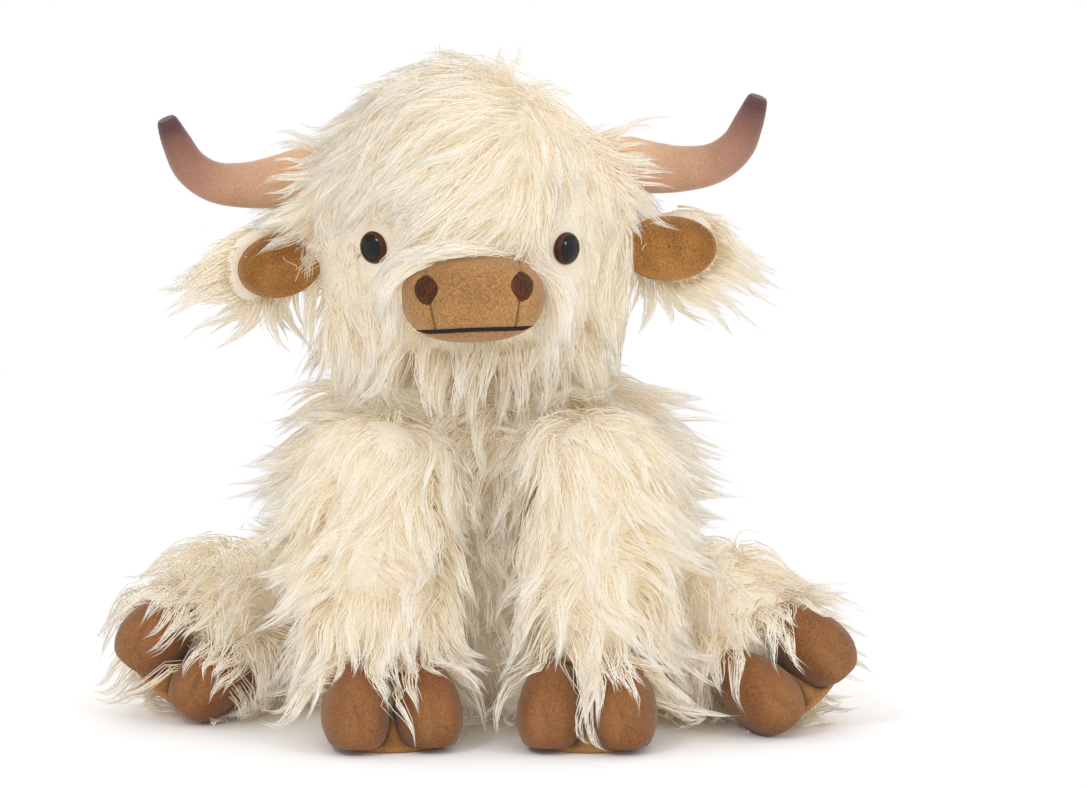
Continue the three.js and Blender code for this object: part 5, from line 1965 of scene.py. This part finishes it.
@dataclass
class Hoof:
    """Two plush toes over a sole."""

    maker: Maker
    name: str
    body: str
    side: Side
    place: Placement
    toe_half_width: float = 18.5 * MM
    toe_half_height: float = 25 * MM
    toe_length: float = 60 * MM
    toe_rear_share: float = 0.42
    toe_height: float = 24 * MM
    toe_dip: float = 4 * MM
    toe_spread: float = 1.5 * MM
    toe_gap: float = 0.8 * MM
    toe_pinch: float = 1.6 * MM  # how deep the seam at its tip is drawn in
    sole_half: Array = field(default_factory=lambda: vec(28, 23) * MM)
    sole_thickness: float = 4 * MM
    cleft: float = 13 * MM

    def build(self) -> None:
        """Makes the toes and the sole."""
        self.toe(self.side.value, "outer")
        self.toe(-self.side.value, "inner")
        self.sole()

    def toe(self, sign: int, word: str) -> None:
        """A toe: a blunt stuffed form, flat underneath, with a short pinched seam at its tip."""
        share = np.linspace(0, 1, 5)
        across = sign * (self.toe_half_width + self.toe_gap / 2 + self.toe_spread * share)
        ahead = self.toe_length * (self.toe_rear_share - share)
        spine = np.stack([across, ahead, self.toe_height - self.toe_dip * share], axis=1)
        tall = vec(0.7, 0.94, 1, 0.98, 0.86)
        widths, depths = self.toe_half_width * tall, self.toe_half_height * tall
        form = DomedForm(self.place, spine, widths, depths, vec(1, 0, 0), 3.2, 2.3)
        surface = form.surface(72, 72)
        local = self.place.local(surface.points)
        local[:, 2] = np.maximum(local[:, 2], self.sole_thickness)
        high = np.clip((local[:, 2] - self.toe_height * 0.6) / self.toe_half_height, 0, 1) ** 1.5
        front = np.clip(-local[:, 1] / self.toe_length, 0, 1)
        local[:, 0] -= (local[:, 0] - across[2]) * 0.2 * high
        local[:, 1] += 9 * MM * high * front
        tip = spine[-1]
        ridge = local[:, 0] - tip[0] - 1.5 * MM * np.sin(local[:, 2] / (7 * MM))
        near = bell(local[:, 1] - tip[1], 9 * MM) * bell(local[:, 2] - tip[2] - 2 * MM, 12 * MM)
        local[:, 1] += self.toe_pinch * bell(ridge, 1.6 * MM) * near
        surface.points = self.place.point(local)
        name = f"{self.name}_{word}"
        self.maker.stuffed(f"{name}_plush", surface, self.body, BROWN, [f"{name}_toe"], fill=0.85)
        self.maker.around.append(form)

    def sole(self) -> None:
        """The sole: an oval pad, drawn up into a ridge that fills the cleft of the toes."""
        body = pad_rings(self.sole_half, self.sole_thickness - 0.2 * MM, 0.06, 4, 64)
        share = np.linspace(0.97, 0.03, 24)[:, None]
        x, y = body[-1, :, 0] * share, body[-1, :, 1] * share
        ridge = self.cleft * bell(x, 4.5 * MM) * (1 - (y / self.sole_half[1]) ** 4)
        top = np.stack([x, y, body[-1, :, 2] + ridge * (1 - share**6)], axis=-1)
        rings = self.place.point(np.concatenate([body, top]))
        piece = mesh_piece(f"{self.name}_pad", capped_tube(rings))
        self.maker.settle(piece, self.body, SOLE, [f"{self.name}_sole"])


@dataclass
class Leg:
    """A stuffed leg with its coat and hoof, in a frame that looks along the leg from where it turns."""

    maker: Maker
    side: Side
    word: str
    root: float
    radius: float
    forward: float
    drop: float
    shares: Sequence[float]
    hoof_forward: float
    hoof_yaw: float = 0.0
    hoof_roll: float = 0.0

    def build(self) -> None:
        """Makes the skin and the hoof."""
        self.name = f"{self.word}_leg_{self.side.word}"
        joint = f"{self.name}_swing"
        right = -unit(np.array(joint_of(joint)["axis"]))
        turn = np.stack([right, np.cross(vec(0, 0, 1), right), vec(0, 0, 1)], axis=1)
        self.place = Placement(joint_at(joint), turn)
        end = vec(0, -self.forward, -self.drop)
        spine = np.linspace(0, 1, len(self.shares) + 1)[:, None] * end
        radii = [self.root, *(self.radius * share for share in self.shares)]
        self.skin = LimbForm(self.place, spine, radii, vec(1, 0, 0), inset=self.maker.pattern.coat_inset)
        surface = self.skin.surface(48, 48)
        surface.points[:, 2] = np.maximum(surface.points[:, 2], 2 * MM)
        self.maker.stuffed(f"{self.name}_skin", surface, self.name, BACKING, [f"{self.name}_cover"])
        self.maker.around.append(self.skin)
        self.hoof()

    def hoof(self) -> None:
        """Places the hoof so that its sole's lowest point is on the floor."""
        sign = self.side.value
        tilt = turn_about(2, -sign * self.hoof_yaw) @ turn_about(1, -sign * self.hoof_roll)
        down = tilt @ vec(0, 0, -24 * MM) if self.hoof_roll else np.zeros(3)
        base = self.place.moved(vec(0, -self.hoof_forward, -self.place.origin[2]), tilt)
        hoof = Hoof(self.maker, f"{self.word}_hoof_{self.side.word}", self.name, self.side, base)
        if self.hoof_roll:
            rim = oval(hoof.sole_half, 64) @ tilt[:, :2].T
            lowest = float((rim + down)[:, 2].min())
            offset = vec(0, -self.hoof_forward, -self.place.origin[2] - lowest) + down
            hoof.place = self.place.moved(offset, tilt)
        hoof.build()

    def dress(self, torso: Form) -> None:
        """Grows the leg's pile, brushed down its length and away from its middle line."""
        ahead = self.place.direction(vec(0, -1, 0))
        if self.word == "front":
            middle = self.place.point(vec(-self.side.value * 20 * MM, 14 * MM, 0))
            comb = Comb(
                middle,
                vec(2.4, 0.9, 0),
                41,
                sweep=ahead * 0.3,
                growth=1.2,
                tousle=0.5,
                tousle_pitch=45 * MM,
                stand=0.7,
            )
            pile = Pile(length=62 * MM, spacing=9.3 * MM, flare=34 * MM)
        else:
            middle = self.place.point(vec(0, -self.forward / 2, 0))
            comb = Comb(
                middle,
                vec(1.4, 1.2, 0),
                42,
                fall=0.8,
                sweep=ahead * 0.75,
                tousle=0.45,
                tousle_pitch=55 * MM,
                stand=0.6,
            )
            pile = Pile(length=57 * MM, spacing=9.7 * MM, flare=34 * MM, lift=0.6)
        seed = 400 + 40 * self.side.value + (7 if self.word == "front" else 0)
        self.maker.coat(f"{self.name}_coat", self.skin, self.name, comb, pile, seed, others=[torso])


@dataclass
class Tail:
    """A stuffed root with a tuft that lies on the floor."""

    maker: Maker
    radius: float = 10 * MM
    length: float = 34 * MM
    drop: float = 18 * MM
    tuft_radius: float = 15 * MM
    tuft_length: float = 44 * MM

    def build(self) -> None:
        """Makes the two skins."""
        place = Placement(joint_at("tail_swing"), np.eye(3))
        share = np.linspace(0, 1, 4)
        spine = np.stack([0 * share, self.length * share, -self.drop * share**2], axis=1)
        self.root = LimbForm(place, spine, [self.radius] * 4, vec(1, 0, 0), inset=3 * MM)
        self.maker.stuffed("tail_skin", self.root.surface(40), "tail", BACKING, ["tail_root"])
        start = vec(0, self.length - self.radius, -self.drop)
        fall = self.tuft_radius - place.origin[2] - start[2]
        line = start + np.linspace(0, 1, 3)[:, None] * vec(0, self.tuft_length, fall)
        radii = self.tuft_radius * vec(1, 1, 0.7)
        self.tuft = DomedForm(place, line, radii, radii, vec(1, 0, 0), 2.2, inset=4 * MM)
        self.maker.stuffed("tail_tuft_skin", self.tuft.surface(40), "tail", BACKING, ["tail_tuft"])
        self.maker.around.extend([self.root, self.tuft])

    def dress(self) -> None:
        """Grows the tuft and the root's pile, brushed back."""
        comb = Comb(vec(0, 0.08, 0.05), vec(0.5, 0.5, 0), 51, fall=0.5, sweep=vec(0, 0.8, 0))
        layers = (1 * MM, 6 * MM)
        short = Pile(30 * MM, 5.2 * MM, strands=9, lock_radius=5 * MM, layers=layers, flare=4 * MM)
        self.maker.coat("tail_coat", self.root, "tail", comb, short, 500)
        layers = (1 * MM, 7 * MM)
        tuft = Pile(34 * MM, 5 * MM, strands=10, lock_radius=5 * MM, layers=layers, flare=5 * MM)
        self.maker.coat("tail_tuft_coat", self.tuft, "tail", comb, tuft, 520)


def legs_of(maker: Maker, side: Side) -> list[Leg]:
    """The front leg and the hind leg of a side. The two hind hooves lie at slightly unlike angles."""
    ahead, yaw = (54 * MM, 8.0) if side is Side.LEFT else (47 * MM, 12.0)
    front = Leg(
        maker,
        side,
        "front",
        root=39 * MM,
        radius=41 * MM,
        forward=40 * MM,
        drop=106 * MM,
        shares=(0.93, 0.96, 0.98, 0.88),
        hoof_forward=50 * MM,
    )
    hind = Leg(
        maker,
        side,
        "hind",
        root=46 * MM,
        radius=46 * MM,
        forward=56 * MM,
        drop=12 * MM,
        shares=(0.96, 0.91, 0.86, 0.78),
        hoof_forward=ahead,
        hoof_yaw=yaw,
        hoof_roll=37.0,
    )
    return [front, hind]


def dress_hidden(wardrobe: Wardrobe) -> None:
    """Gives the solids inside the toy their finish."""
    finishes = {"polyester": FILLING, "pouch_cloth": CLOTH, "washer_plastic": WASHER}
    slots = {part["node"]: part["material_slot"] for part in frame["record"]["subparts"]}
    for name, node in frame["nodes"].items():
        if slots[name] in finishes:
            wardrobe.put(node, finishes[slots[name]])


def main() -> None:
    """Builds the studio and the cow."""
    logging.basicConfig(level=logging.INFO, format="%(message)s")
    cad_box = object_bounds()
    Studio().build()
    maker = Maker(Pattern(), Wardrobe(), room_for(cad_box))
    torso, head, muzzle = Torso(maker), Head(maker), Muzzle(maker)
    horns = [Horn(maker, side) for side in Side]
    ears = [Ear(maker, side) for side in Side]
    legs = [leg for side in Side for leg in legs_of(maker, side)]
    tail = Tail(maker)
    for part in (torso, head, muzzle, *horns, *ears, *legs, tail):
        part.build()
    torso.dress([leg.skin for leg in legs])
    head.dress([horn.form for horn in horns], [ear.leaf for ear in ears], [ear.view for ear in ears])
    for ear in ears:
        ear.dress()
    for leg in legs:
        leg.dress(torso.skin)
    tail.dress()
    dress_hidden(maker.wardrobe)


if __name__ == "__main__":
    main()
